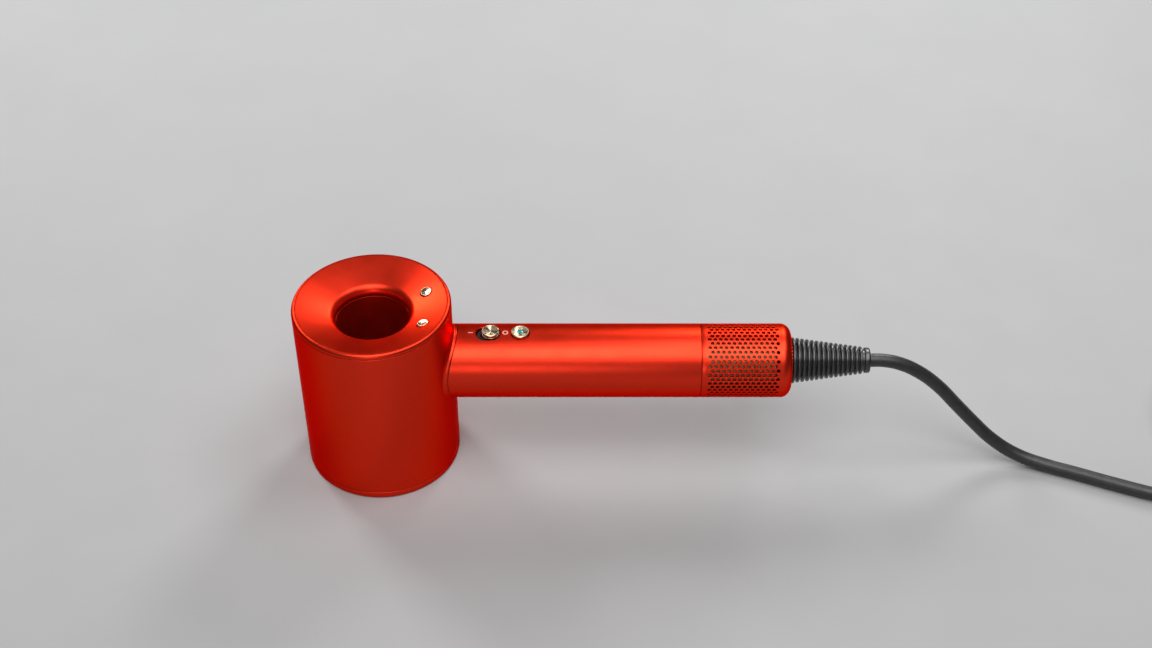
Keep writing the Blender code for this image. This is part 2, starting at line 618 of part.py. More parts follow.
def make_cord_anchor(handle):
    clamp_start, plate_start = 194 * MM, 200.2 * MM
    screw_place = 9.6 * MM
    plate = ring("base_plate", 4.6 * MM, 15.6 * MM, plate_start, plate_start + 2.8 * MM, handle, 24)
    clamp = prism("cord_clamp", obround(25 * MM, 9 * MM), clamp_start, plate_start - GAP, handle)
    combine(clamp, rod("clamp_eye", 3 * MM, 190 * MM, 205 * MM, handle, 16))
    for number, side in ((1, 1), (2, -1)):
        centre = (side * screw_place, 0)
        hole = rod(f"screw_hole_{number}", 1.4 * MM, 190 * MM, 205 * MM, handle, 12, centre)
        combine(clamp, hole)
        combine(plate, hole)
        head_top = clamp_start - GAP
        profile = [(0, head_top - 1.4 * MM), (1.9 * MM, head_top - 1.4 * MM), (1.9 * MM, head_top)]
        profile += [(1.05 * MM, head_top), (1.05 * MM, 202.4 * MM), (0, 202.4 * MM)]
        screw = turned(f"clamp_screw_{number}", profile, handle, 12, centre)
        finish(screw, STEEL, 0.3, 1)
    finish(plate, BLACK, 0.6)
    finish(clamp, BLACK, 0.6)


def make_relief(handle):
    start = HANDLE_END + 0.6 * MM
    collar = 3.2 * MM
    pitch = (RELIEF_END - collar - start) / RELIEF_RIBS
    profile = [(0, RELIEF_START), (RELIEF_RADIUS, RELIEF_START)]
    for k in range(RELIEF_RIBS):
        share = k / (RELIEF_RIBS - 1)
        crown = RELIEF_RADIUS + (RELIEF_TIP + 0.35 * MM - RELIEF_RADIUS) * share
        low = start + k * pitch
        profile += [(crown, low + 0.6 * pitch), (crown - 0.8 * MM, low + pitch)]
    profile += [(RELIEF_TIP, RELIEF_END - collar + 0.5 * MM), (RELIEF_TIP, RELIEF_END - 0.6 * MM)]
    profile += [(RELIEF_TIP - 0.8 * MM, RELIEF_END), (0, RELIEF_END)]
    finish(turned("strain_relief", profile, handle, 16), CHARCOAL, 0.6)


def make_wires(controls):
    lead = [(202.9, 0, 0), (196, 0, 0), (189, 0, -1), (180, 0, -6), (171, 0, -11), (165, 0, -12.7),
            (160.5, 0, -14.4), (156, 0, -15.3), (140, 0, -15.3), (124, 0, -15.3), (118, 0, -15.1),
            (114, 0, -12.5), (111, 0, -7.6)]
    points = smooth_route([Vector(place) * MM for place in lead], 5 * MM)
    finish(tube("internal_lead", points, 1.25 * MM, controls), BLACK, 0.5)
    harness = [(88, 0, -1.5), (80, 2, -1), (66, 6, -1), (50, 6, 0), (40, 3, 3), (33, 0, 9), (30, 0, 15),
               (29.6, 0, 20)]
    points = smooth_route([Vector(place) * MM for place in harness], 5 * MM)
    finish(tube("wiring_harness", points, 1.2 * MM, controls), (0.5, 0.03, 0.03), 0.5)


# Lead

def make_cord():
    route = smooth_route([Vector(place) * MM for place in CORD_ROUTE_MM], 15 * MM)
    finish(tube("cord_run", route, CORD_RADIUS), CHARCOAL, 0.5)
    tail = smooth_route([Vector(place) * MM for place in TAIL_ROUTE_MM], 8 * MM)
    finish(tube("cord_tail", tail, CORD_RADIUS), CHARCOAL, 0.5)

    half = COIL_PITCH * COIL_TURNS / COIL_LAYERS / 2 + CORD_RADIUS + 0.2 * MM
    top = COIL_BASE + COIL_LAYERS * 2 * CORD_RADIUS
    coil = ring("cord_coil", COIL_MIDDLE - half, COIL_MIDDLE + half, COIL_BASE, top, None, 48)
    coil.location = COIL_CENTRE
    finish(coil, CHARCOAL, 0.5)

    inner = (COIL_MIDDLE - half - 0.9 * MM, COIL_MIDDLE + half + GAP)
    across = (inner[0] - TIE_BAND, inner[0], inner[1], inner[1] + TIE_BAND)
    up = (0, TIE_BAND, top + GAP, top + GAP + TIE_BAND)

    def corner(i, j, layer):
        return Vector((across[j], (-TIE_WIDTH / 2, TIE_WIDTH / 2)[layer], up[i]))

    tie_frame = frame("cable_tie_place", COIL_CENTRE, Matrix.Rotation(math.radians(60), 4, "Z"))
    tie = lattice("cable_tie", 3, 3, corner, lambda i, j: (i, j) != (1, 1), tie_frame, wrap=False)
    finish(tie, BLACK, 0.8)


def make_plug():
    place = frame("plug_place", PLUG_START, Matrix.Rotation(math.pi / 2, 4, "Y"))
    outline = []
    quarters = ((1, 1, 0), (-1, 1, 90), (-1, -1, 180), (1, -1, 270))
    for side_x, side_y, turn in quarters:
        centre = (side_x * (PLUG_HEIGHT / 2 - PLUG_CORNER), side_y * (PLUG_WIDTH / 2 - PLUG_CORNER))
        outline += arc(centre, PLUG_CORNER, turn, turn + 90, 4)
    face = BOOT_LENGTH + PLUG_LENGTH
    body = prism("plug_body", outline, BOOT_LENGTH, face, place)
    boot_top = BOOT_LENGTH + 3 * MM
    boot = turned("plug_boot", [(0, 0), (5 * MM, 0), (8.5 * MM, boot_top), (0, boot_top)], place, 20)
    finish(combine(body, boot, "UNION"), CHARCOAL, 0.45)
    root, tip, chamfer = face + GAP, face + PIN_LENGTH, 1 * MM
    for number, side in ((1, 1), (2, -1)):
        profile = [(0, root), (PIN_RADIUS, root), (PIN_RADIUS, tip - chamfer)]
        profile += [(PIN_RADIUS - 0.7 * MM, tip), (0, tip)]
        pin = turned(f"plug_pin_{number}", profile, place, 16, (0, side * PIN_SPACING / 2))
        finish(pin, STEEL, 0.25, 1)


def main():
    clear_scene()
    head = frame("head_axis", (HEAD_X, 0, 0))
    along_x = Matrix(((0, 0, 1, 0), (0, -1, 0, 0), (1, 0, 0, 0), (0, 0, 0, 1)))
    middle = (HEAD_X, 0, HANDLE_HEIGHT)
    handle = frame("handle_axis", middle, along_x)
    controls = frame("controls_axis", middle)
    spin = frame("rotor_axis", middle, along_x)
    button_frames = []
    for name, side in (("speed_button_axis", 1), ("heat_button_axis", -1)):
        turn = Matrix.Rotation(side * BUTTON_SPREAD, 4, "Z")
        place = turn @ Vector((BUTTON_RING, 0, flare_height(BUTTON_RING)))
        button_frames.append(frame(name, place, turn @ Matrix.Rotation(-FLARE_ANGLE, 4, "Y"), head))

    make_head_shell(head, handle)
    make_rear_cover(head, button_frames)
    make_bore_tube(head)
    make_outlet_ring(head)
    make_heater(head)
    make_head_sensors(head)
    make_head_buttons(head, button_frames)
    make_handle_tube(head, handle, controls)
    make_controls(controls)
    make_electronics(handle, controls)
    make_motor(handle)
    make_rotor(handle, spin)
    make_filter(handle)
    make_cord_anchor(handle)
    make_relief(handle)
    make_wires(controls)
    make_cord()
    make_plug()


main()
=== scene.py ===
"""Hair dryer: finely made visible pieces, materials, lead, floor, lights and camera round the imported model.

Metres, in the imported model's frame: +Z along the head's bore to the rear inlet, +X along the handle.
Pieces of the head are turned about the bore's axis and pieces of the handle about the handle's axis,
with their places counted along it from the bore's axis.
"""

import json
import math

import bmesh
import bpy
from mathutils import Matrix, Vector


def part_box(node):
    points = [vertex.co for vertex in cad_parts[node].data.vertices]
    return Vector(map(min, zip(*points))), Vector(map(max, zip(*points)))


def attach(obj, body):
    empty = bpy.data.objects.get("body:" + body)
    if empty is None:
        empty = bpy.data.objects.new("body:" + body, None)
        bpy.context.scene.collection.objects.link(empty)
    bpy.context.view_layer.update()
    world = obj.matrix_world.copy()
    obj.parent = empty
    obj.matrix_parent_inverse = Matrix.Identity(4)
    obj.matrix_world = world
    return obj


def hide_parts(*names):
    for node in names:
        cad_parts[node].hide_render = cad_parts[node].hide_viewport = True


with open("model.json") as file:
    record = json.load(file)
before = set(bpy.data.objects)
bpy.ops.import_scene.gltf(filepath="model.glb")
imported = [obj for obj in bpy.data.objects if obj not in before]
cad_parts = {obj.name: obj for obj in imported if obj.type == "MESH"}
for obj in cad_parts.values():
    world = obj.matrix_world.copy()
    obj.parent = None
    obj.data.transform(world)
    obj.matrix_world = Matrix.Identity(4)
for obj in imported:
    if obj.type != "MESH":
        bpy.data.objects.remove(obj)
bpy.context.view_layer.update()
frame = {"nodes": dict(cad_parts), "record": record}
nodes = frame["nodes"]

MM = 0.001

# Gaps between pieces, and the setback of rounded edges
SEAM = 0.3 * MM
CAGE_SEAM = 0.18 * MM
COLD_SHOT_GAP = 0.3 * MM
FLARE_BUTTON_GAP = 0.22 * MM
EDGE = 0.22 * MM

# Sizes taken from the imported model
cover_low, cover_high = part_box("rear_cover")
handle_low, handle_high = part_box("handle_tube")
cage_low, cage_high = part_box("filter_cage")
HEAD_X = (cover_low.x + cover_high.x) / 2
HEAD_DEPTH = cover_high.z
HEAD_RADIUS = (cover_high.x - cover_low.x) / 2
HANDLE_HEIGHT = (handle_low.z + handle_high.z) / 2
HANDLE_RADIUS = (handle_high.z - handle_low.z) / 2
CAGE_START = cage_low.x - HEAD_X
HANDLE_END = cage_high.x - HEAD_X
RELIEF_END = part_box("strain_relief")[1].x - HEAD_X

# Head
BORE_RADIUS = 18.2 * MM
SHELL_INSIDE = 36.7 * MM
SPIGOT_OUTSIDE = SHELL_INSIDE - SEAM
SPIGOT_INSIDE = SHELL_INSIDE - 1.8 * MM
OUTLET_DEPTH = 4 * MM
COVER_DEPTH = 2.4 * MM
COVER_WALL = 2 * MM
FLARE_ANGLE = math.radians(19)
FLARE_NORMAL = math.degrees(FLARE_ANGLE) + 90
CREST_RADIUS = 1.8 * MM
CREST_CENTRE = (HEAD_RADIUS - CREST_RADIUS, HEAD_DEPTH - CREST_RADIUS)
CREST_STEPS = 10
THROAT_RADIUS = 5 * MM
THROAT_STEPS = 20
THROAT_DEPTH = 10.7 * MM
SADDLE_RADIUS = 40.9 * MM
NECK_INSIDE = 16.5 * MM

# Controls
BUTTON_RING = 28.4 * MM
BUTTON_SPREAD = math.radians(24.7)
BUTTON_RADIUS = 2.9 * MM
SLIDER_PLACE = 57.6 * MM
SLIDER_TRAVEL = 2.5 * MM
SLIDER_RADIUS = 4.3 * MM
SLOT_PLACE = 56.4 * MM
SLOT_LENGTH = 12.4 * MM
SLOT_WIDTH = 9.6 * MM
COLD_SHOT_PLACE = 72.3 * MM
COLD_SHOT_RADIUS = 4.45 * MM

# Filter cage
CAGE_ROWS = 50
CAGE_COLUMNS = 13
CAGE_PITCH = 2.683 * MM
CAGE_FIRST = 165.85 * MM
CAGE_INSIDE = 17.2 * MM

# Lead
CORD_RADIUS = 3.4 * MM

HEAD = Matrix.Translation((HEAD_X, 0, 0))
CONTROLS = Matrix.Translation((HEAD_X, 0, HANDLE_HEIGHT))
ALONG_X = Matrix(((0, 0, 1, 0), (0, -1, 0, 0), (1, 0, 0, 0), (0, 0, 0, 1)))
HANDLE = CONTROLS @ ALONG_X

# Camera
CAMERA_LENS = 53.65
CAMERA_PLACE = (-0.00411, -0.63727, 0.63891)
CAMERA_TILT = math.radians(48.917)


# Materials

NOISE_LOW, NOISE_HIGH = 0.3, 0.7    # nearly all of a noise's values lie between these
WAVE_BANDS = 20                     # a wave texture of scale 1 has this many bands in tau metres


class Finish:
    """A procedural material: colour, roughness and fine relief vary over the surface in real sizes."""

    def __init__(self, name, metallic=0.0, **sockets):
        self.made = bpy.data.materials.new(name)
        self.made.use_nodes = True
        self.tree = self.made.node_tree
        self.shader = self.tree.nodes["Principled BSDF"]
        self.shader.inputs["Metallic"].default_value = metallic
        for socket, value in sockets.items():
            self.shader.inputs[socket.replace("_", " ")].default_value = value
        self.place = self.tree.nodes.new("ShaderNodeTexCoord").outputs["Object"]

    def node(self, kind, **settings):
        made = self.tree.nodes.new("ShaderNode" + kind)
        for key, value in settings.items():
            setattr(made, key, value)
        return made

    def link(self, output, target):
        self.tree.links.new(output, target)

    def noise(self, size, detail=3.0, stretch=(1, 1, 1)):
        """Noise whose lumps are about size metres across, drawn out along the stretched axes."""
        mapping = self.node("Mapping")
        mapping.inputs["Scale"].default_value = [1 / (size * s) for s in stretch]
        self.link(self.place, mapping.inputs["Vector"])
        made = self.node("TexNoise")
        made.inputs["Scale"].default_value = 1
        made.inputs["Detail"].default_value = detail
        self.link(mapping.outputs["Vector"], made.inputs["Vector"])
        return made.outputs["Fac"]

    def ramp(self, value, stops):
        """Colours blended between (place, colour) stops."""
        made = self.node("ValToRGB")
        elements = made.color_ramp.elements
        for element, (place, colour) in zip(elements, (stops[0], stops[-1])):
            element.position, element.color = place, (*colour, 1)
        for place, colour in stops[1:-1]:
            elements.new(place).color = (*colour, 1)
        self.link(value, made.inputs["Fac"])
        return made.outputs["Color"]

    def spread(self, value, low, high):
        """A noise stretched to run from low to high."""
        made = self.node("MapRange")
        made.inputs["From Min"].default_value = NOISE_LOW
        made.inputs["From Max"].default_value = NOISE_HIGH
        made.inputs["To Min"].default_value = low
        made.inputs["To Max"].default_value = high
        self.link(value, made.inputs["Value"])
        return made.outputs["Result"]

    def colour(self, value, low, high):
        stops = [(NOISE_LOW, low), (NOISE_HIGH, high)]
        self.link(self.ramp(value, stops), self.shader.inputs["Base Color"])

    def roughness(self, value, low, high):
        self.link(self.spread(value, low, high), self.shader.inputs["Roughness"])

    def bump(self, value, depth, strength):
        """Relief of a depth in metres, laid over any relief already there."""
        made = self.node("Bump")
        made.inputs["Strength"].default_value = strength
        made.inputs["Distance"].default_value = depth
        self.link(value, made.inputs["Height"])
        before = self.shader.inputs["Normal"].links
        if before:
            self.link(before[0].from_socket, made.inputs["Normal"])
        self.link(made.outputs["Normal"], self.shader.inputs["Normal"])

    def weave(self, pitch, across, along):
        """Two crossing sets of threads, as heights."""
        threads = []
        for axis in (across, along):
            wave = self.node("TexWave", bands_direction=axis)
            wave.inputs["Scale"].default_value = math.tau / (pitch * WAVE_BANDS)
            self.link(self.place, wave.inputs["Vector"])
            threads.append(wave.outputs["Fac"])
        mix = self.node("Math", operation="MULTIPLY")
        self.link(threads[0], mix.inputs[0])
        self.link(threads[1], mix.inputs[1])
        return mix.outputs["Value"]

    def spun(self, pitch):
        """Round turning marks about the local Z axis, as heights."""
        made = self.node("TexWave", wave_type="RINGS", rings_direction="Z")
        made.inputs["Scale"].default_value = math.tau / (pitch * WAVE_BANDS)
        made.inputs["Distortion"].default_value = 0.4
        made.inputs["Detail"].default_value = 1
        self.link(self.place, made.inputs["Vector"])
        return made.outputs["Fac"]

    def radial(self):
        """Turns the shader's drawn-out gloss round the local Z axis."""
        made = self.node("Tangent", direction_type="RADIAL", axis="Z")
        self.link(made.outputs["Tangent"], self.shader.inputs["Tangent"])


def casing_finish():
    """Metallic orange-red lacquer, with a redder edge tint and very fine flake."""
    made = Finish("casing", 1.0, Specular_Tint=(0.85, 0.10, 0.07, 1))
    made.colour(made.noise(0.35 * MM, 2), (0.76, 0.033, 0.013), (0.84, 0.041, 0.017))
    made.roughness(made.noise(9 * MM, 4), 0.35, 0.39)
    made.bump(made.noise(0.28 * MM, 2), 0.004 * MM, 0.5)
    return made.made


def shaded_bore_finish():
    """The same lacquer inside the bore, duller, and darker in colour as painted shade."""
    made = Finish("bore", 1.0, Specular_Tint=(0.8, 0.12, 0.06, 1))
    # darker than the casing's colour: painted shade inside the bore
    made.colour(made.noise(0.35 * MM, 2), (0.58, 0.024, 0.008), (0.66, 0.034, 0.010))
    made.roughness(made.noise(7 * MM, 4), 0.42, 0.50)
    made.bump(made.noise(0.28 * MM, 2), 0.004 * MM, 0.5)
    return made.made


def gold_finish():
    """Pale gold metal, turned on a lathe."""
    made = Finish("button_metal", 1.0, Anisotropic=0.95)
    made.colour(made.noise(1.5 * MM, 3), (0.70, 0.53, 0.33), (0.82, 0.66, 0.45))
    made.roughness(made.noise(2.5 * MM, 3), 0.26, 0.31)
    made.bump(made.spun(0.2 * MM), 0.001 * MM, 0.3)
    made.radial()
    return made.made


def lens_finish():
    """Glossy blue-green translucent plastic."""
    made = Finish("lens", Coat_Weight=1.0, Coat_Roughness=0.05, Transmission_Weight=0.2)
    made.colour(made.noise(0.5 * MM, 2), (0.01, 0.24, 0.27), (0.03, 0.42, 0.46))
    made.roughness(made.noise(0.8 * MM, 2), 0.16, 0.26)
    return made.made


def plastic_finish(name, low, high, rough, grain, depth, shine=0.5):
    """Moulded plastic: spark-eroded grain of the given size and depth, with slightly uneven gloss."""
    made = Finish(name, Specular_IOR_Level=shine)
    made.colour(made.noise(grain * 18, 4), low, high)
    made.roughness(made.noise(grain * 9, 3), rough, rough + 0.12)
    made.bump(made.noise(grain, 3), depth, 0.7)
    return made.made


def cord_finish():
    """Soft black cord jacket, faintly uneven along its length."""
    made = Finish("cord_rubber", Sheen_Weight=0.15, Sheen_Roughness=0.4)
    made.colour(made.noise(3 * MM, 4), (0.013, 0.013, 0.014), (0.022, 0.022, 0.024))
    made.roughness(made.noise(1.2 * MM, 4), 0.36, 0.48)
    made.bump(made.noise(0.25 * MM, 3), 0.02 * MM, 0.6)
    made.bump(made.noise(5 * MM, 2), 0.05 * MM, 0.4)
    return made.made


def metal_finish(name, low, high, rough, stretch=(1, 1, 8)):
    """Drawn or rolled metal, with marks drawn out along one axis and faint tarnish."""
    made = Finish(name, 1.0)
    made.colour(made.noise(4 * MM, 5), low, high)
    made.roughness(made.noise(0.5 * MM, 3, stretch), rough, rough + 0.14)
    made.bump(made.noise(0.12 * MM, 3, stretch), 0.006 * MM, 0.5)
    return made.made


def mica_finish():
    """Pressed mica sheet, flaky and faintly glazed."""
    made = Finish("mica", Coat_Weight=0.3, Coat_Roughness=0.3)
    made.colour(made.noise(2.5 * MM, 6, (1, 3, 1)), (0.30, 0.26, 0.18), (0.52, 0.47, 0.36))
    made.roughness(made.noise(1 * MM, 4), 0.35, 0.6)
    made.bump(made.noise(0.8 * MM, 6, (1, 4, 1)), 0.05 * MM, 0.6)
    return made.made


def board_finish():
    """Green circuit board under its lacquer."""
    made = Finish("board", Coat_Weight=0.6, Coat_Roughness=0.2)
    made.colour(made.noise(1.6 * MM, 1), (0.008, 0.09, 0.035), (0.02, 0.22, 0.08))
    made.roughness(made.noise(2 * MM, 3), 0.3, 0.45)
    made.bump(made.noise(1.2 * MM, 0), 0.03 * MM, 0.8)
    return made.made


def foam_finish():
    """Open-celled dark foam, painted darker as shade in the pits of its cells."""
    made = Finish("foam")
    cells = made.node("TexVoronoi")
    cells.inputs["Scale"].default_value = 1 / (0.7 * MM)
    made.link(made.place, cells.inputs["Vector"])
    # the cells' pits, low in the relief below, are painted darker as shade
    made.colour(cells.outputs["Distance"], (0.006, 0.006, 0.007), (0.05, 0.05, 0.055))
    made.roughness(made.noise(1 * MM), 0.85, 0.98)
    made.bump(cells.outputs["Distance"], 0.3 * MM, 0.9)
    return made.made


def filter_finish():
    """Fine woven brass-coloured mesh, painted dark as shade where the threads dip and lighter as highlight on
    their tops.
    """
    made = Finish("filter_mesh", 0.5)
    threads = made.weave(0.22 * MM, "Y", "X")
    # colour follows the weave's height: painted shade in its low places, painted highlight on the thread tops
    stops = [(0.1, (0.05, 0.035, 0.01)), (0.6, (0.60, 0.46, 0.18)), (1.0, (0.92, 0.76, 0.38))]
    made.link(made.ramp(threads, stops), made.shader.inputs["Base Color"])
    made.roughness(made.noise(2 * MM), 0.38, 0.5)
    made.bump(threads, 0.05 * MM, 0.7)
    return made.made


def tie_finish():
    """Woven black strap, painted darker as shade where the weave dips."""
    made = Finish("tie", Sheen_Weight=0.6, Sheen_Roughness=0.5)
    threads = made.weave(0.55 * MM, "Z", "Y")
    # colour follows the weave's height: painted shade in its low places
    made.colour(threads, (0.010, 0.010, 0.011), (0.045, 0.045, 0.048))
    made.roughness(made.noise(1.5 * MM), 0.75, 0.9)
    made.bump(threads, 0.12 * MM, 0.9)
    made.bump(made.noise(0.2 * MM, 4), 0.08 * MM, 0.7)
    return made.made


def print_finish():
    """The pale ink of the printed marks."""
    made = Finish("print")
    made.colour(made.noise(0.4 * MM, 3), (0.80, 0.36, 0.30), (0.90, 0.48, 0.40))
    made.roughness(made.noise(0.3 * MM), 0.45, 0.6)
    return made.made


FINISHES = {
    "casing": casing_finish(),
    "bore": shaded_bore_finish(),
    "button_metal": gold_finish(),
    "lens": lens_finish(),
    "black_plastic": plastic_finish("black_plastic", (0.006,) * 3, (0.012,) * 3, 0.5,
                                    0.22 * MM, 0.02 * MM, 0.25),
    "relief_rubber": plastic_finish("relief_rubber", (0.007, 0.007, 0.008), (0.012, 0.012, 0.014), 0.28,
                                    0.3 * MM, 0.004 * MM, 0.9),
    "cord_rubber": cord_finish(),
    "plug_plastic": plastic_finish("plug_plastic", (0.020, 0.020, 0.022), (0.032, 0.032, 0.035), 0.4,
                                   0.25 * MM, 0.03 * MM),
    "pin_metal": metal_finish("pin_metal", (0.62, 0.60, 0.56), (0.74, 0.72, 0.68), 0.2, (1, 1, 10)),
    "steel": metal_finish("steel", (0.42, 0.42, 0.43), (0.58, 0.58, 0.60), 0.28),
    "aluminium": metal_finish("aluminium", (0.66, 0.67, 0.68), (0.78, 0.79, 0.80), 0.3),
    "copper": metal_finish("copper", (0.55, 0.20, 0.08), (0.80, 0.36, 0.18), 0.26, (6, 1, 1)),
    "mica": mica_finish(),
    "board": board_finish(),
    "foam": foam_finish(),
    "filter_mesh": filter_finish(),
    "soft_mount": plastic_finish("soft_mount", (0.012,) * 3, (0.022,) * 3, 0.7, 0.4 * MM, 0.05 * MM),
    "tie": tie_finish(),
    "wire_red": plastic_finish("wire_red", (0.30, 0.010, 0.008), (0.45, 0.018, 0.012), 0.38,
                               0.5 * MM, 0.01 * MM),
}
PRINT = print_finish()


# Shapes

def object_from(name, bm, matrix, smooth=35):
    """An object in its own axes from a finished bmesh, with its normals out."""
    bmesh.ops.recalc_face_normals(bm, faces=bm.faces)
    mesh = bpy.data.meshes.new(name)
    bm.to_mesh(mesh)
    bm.free()
    obj = bpy.data.objects.new(name, mesh)
    bpy.context.scene.collection.objects.link(obj)
    obj.matrix_world = matrix
    soften(obj, smooth)
    return obj


def add_piece(name, verts, faces, matrix, slot=None, body="dryer", stands_for=()):
    """A mesh in its own axes; given a slot, a piece with its finish, body and the nodes it stands for."""
    bm = bmesh.new()
    made = [bm.verts.new(place) for place in verts]
    for face in faces:
        bm.faces.new([made[k] for k in face])
    obj = object_from(name, bm, matrix)
    if slot:
        dress(obj, slot, body, stands_for)
    return obj


def soften(obj, angle=35):
    """Smooth shading, except at edges sharper than an angle in degrees."""
    obj.data.shade_smooth()
    obj.data.set_sharp_from_angle(angle=math.radians(angle))


def dress(obj, slot, body="dryer", stands_for=()):
    """Gives a piece its finish, its body and the nodes that it stands for."""
    obj.data.materials.append(FINISHES[slot])
    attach(obj, body)
    if stands_for:
        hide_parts(*stands_for)
    return obj


def in_mm(*corners):
    """Corners given in millimetres: (radius, height) or (radius, height, setback)."""
    return [tuple(value * MM for value in corner) for corner in corners]


def rounded(profile, steps=5):
    """A closed outline with its marked corners rounded: (radius, height) or (radius, height, setback)."""
    points = []
    for k, (x, y, *setback) in enumerate(profile):
        corner = Vector((x, y))
        if not setback:
            points.append(corner)
            continue
        before = Vector(profile[k - 1][:2])
        after = Vector(profile[(k + 1) % len(profile)][:2])
        first = corner + (before - corner).normalized() * setback[0]
        last = corner + (after - corner).normalized() * setback[0]
        for step in range(steps + 1):
            t = step / steps
            points.append(first * (1 - t) ** 2 + corner * 2 * t * (1 - t) + last * t ** 2)
    return [tuple(point) for point in points]


def arc(centre, radius, start, end, steps):
    """Points along an arc, its angles in degrees from outward to upward."""
    angles = [math.radians(start + (end - start) * k / steps) for k in range(steps + 1)]
    return [(centre[0] + radius * math.cos(a), centre[1] + radius * math.sin(a)) for a in angles]


def turned_mesh(profile, segments):
    """Vertices and faces of a solid of revolution about local Z; its closed profile is (radius, height)."""
    on_axis = 1e-7
    verts, rings, faces = [], [], []
    for radius, height in profile:
        if radius < on_axis:
            rings.append([len(verts)] * segments)
            verts.append((0, 0, height))
            continue
        rings.append(range(len(verts), len(verts) + segments))
        for k in range(segments):
            angle = math.tau * k / segments
            verts.append((radius * math.cos(angle), radius * math.sin(angle), height))
    for a, b in zip(rings, rings[1:] + rings[:1]):
        for k in range(segments):
            n = (k + 1) % segments
            face = list(dict.fromkeys((a[k], a[n], b[n], b[k])))
            if len(face) > 2:
                faces.append(face)
    return verts, faces


def turned(name, profile, matrix, slot=None, segments=160, body="dryer", stands_for=()):
    verts, faces = turned_mesh(profile, segments)
    return add_piece(name, verts, faces, matrix, slot, body, stands_for)


def rod(name, radius, bottom, top, matrix, segments):
    profile = [(0, bottom), (radius, bottom), (radius, top), (0, top)]
    return turned(name, profile, matrix, segments=segments)


def carve(target, *steps):
    """Applies (operation, other) steps to the target and removes the other objects."""
    for operation, other in steps:
        modifier = target.modifiers.new(other.name, "BOOLEAN")
        modifier.operation = operation
        modifier.object = other
        modifier.solver = "EXACT"
    bpy.context.view_layer.update()
    graph = bpy.context.evaluated_depsgraph_get()
    mesh = bpy.data.meshes.new_from_object(target.evaluated_get(graph))
    bm = bmesh.new()
    bm.from_mesh(mesh)
    bmesh.ops.triangulate(bm, faces=[face for face in bm.faces if len(face.verts) > 4])
    bm.to_mesh(mesh)
    bm.free()
    target.modifiers.clear()
    target.data = mesh
    for _, other in steps:
        bpy.data.objects.remove(other)
    soften(target)
    return target


def true_normals(obj, within=4.0):
    """Where a corner's normal is within an angle of straight out from local Z, or in, makes it exactly so."""
    mesh = obj.data
    limit = math.radians(within)
    facing_along, near_axis = 0.02, 0.1 * MM
    normals = [Vector(corner.vector) for corner in mesh.corner_normals]
    for loop, normal in zip(mesh.loops, normals):
        out = mesh.vertices[loop.vertex_index].co.xy
        flat = normal.xy
        if flat.length < facing_along or out.length < near_axis:
            continue
        off = flat.angle(out)
        side = 1 if off < limit else -1 if off > math.pi - limit else 0
        if side:
            normal.xy = out.normalized() * flat.length * side
    mesh.normals_split_custom_set(normals)
    return obj


def obround(length, width, centre, steps=24):
    """The outline of a slot along X with round ends."""
    reach = (length - width) / 2
    right = arc((centre + reach, 0), width / 2, -90, 90, steps)
    return right + arc((centre - reach, 0), width / 2, 90, 270, steps)


def circle(radius, centre=0, steps=64):
    """The outline of a circle whose middle is on the X axis."""
    angles = [math.tau * k / steps for k in range(steps)]
    return [(centre + radius * math.cos(angle), radius * math.sin(angle)) for angle in angles]


def grown(outline, by):
    """An outline moved outwards, square to itself."""
    made = []
    for k, point in enumerate(outline):
        ahead = Vector(outline[(k + 1) % len(outline)]) - Vector(outline[k - 1])
        side = Vector((ahead.y, -ahead.x)).normalized()
        made.append((point[0] + side.x * by, point[1] + side.y * by))
    return made


def lofted(rings, joined=False):
    """Vertices and faces through rings of equal length, capped at both ends or joined last to first."""
    count = len(rings[0])
    verts = [place for ring in rings for place in ring]
    faces = []
    for level in range(len(rings) if joined else len(rings) - 1):
        a, b = level * count, (level + 1) % len(rings) * count
        for k in range(count):
            n = (k + 1) % count
            faces.append((a + k, a + n, b + n, b + k))
    if not joined:
        faces.append(tuple(range(count))[::-1])
        faces.append(tuple(range(len(verts) - count, len(verts))))
    return verts, faces


def edged_cutter(name, outline, surface, bottom, chamfer, matrix):
    """A cutter with straight walls and a chamfer where it passes a surface of height surface(x, y)."""
    past = grown(outline, chamfer * 2)
    clear = max(surface(x, y) for x, y in past) + 2 * MM
    rings = [[(x, y, bottom) for x, y in outline],
             [(x, y, surface(x, y) - chamfer) for x, y in outline],
             [(x, y, surface(x, y) + chamfer) for x, y in past],
             [(x, y, clear) for x, y in past]]
    return add_piece(name, *lofted(rings), matrix)


# Head

def flare_profile():
    """The rear cover's face from its crest down into the bore."""
    return arc(CREST_CENTRE, CREST_RADIUS, 0, FLARE_NORMAL, CREST_STEPS) + throat_profile(0)


def throat_profile(offset):
    """The bend from the flare's straight face into the bore, moved into the wall by an offset."""
    middle = BORE_RADIUS + THROAT_RADIUS
    run = (CREST_CENTRE[0] - middle) * math.sin(FLARE_ANGLE)
    drop = (run + THROAT_RADIUS - CREST_RADIUS) / math.cos(FLARE_ANGLE)
    centre = (middle, CREST_CENTRE[1] - drop)
    return arc(centre, THROAT_RADIUS - offset, FLARE_NORMAL, 180, THROAT_STEPS)


def flare_height(radius):
    """The height of the flare's straight face at a radius."""
    top = flare_profile()[CREST_STEPS]
    return top[1] - (top[0] - radius) * math.tan(FLARE_ANGLE)


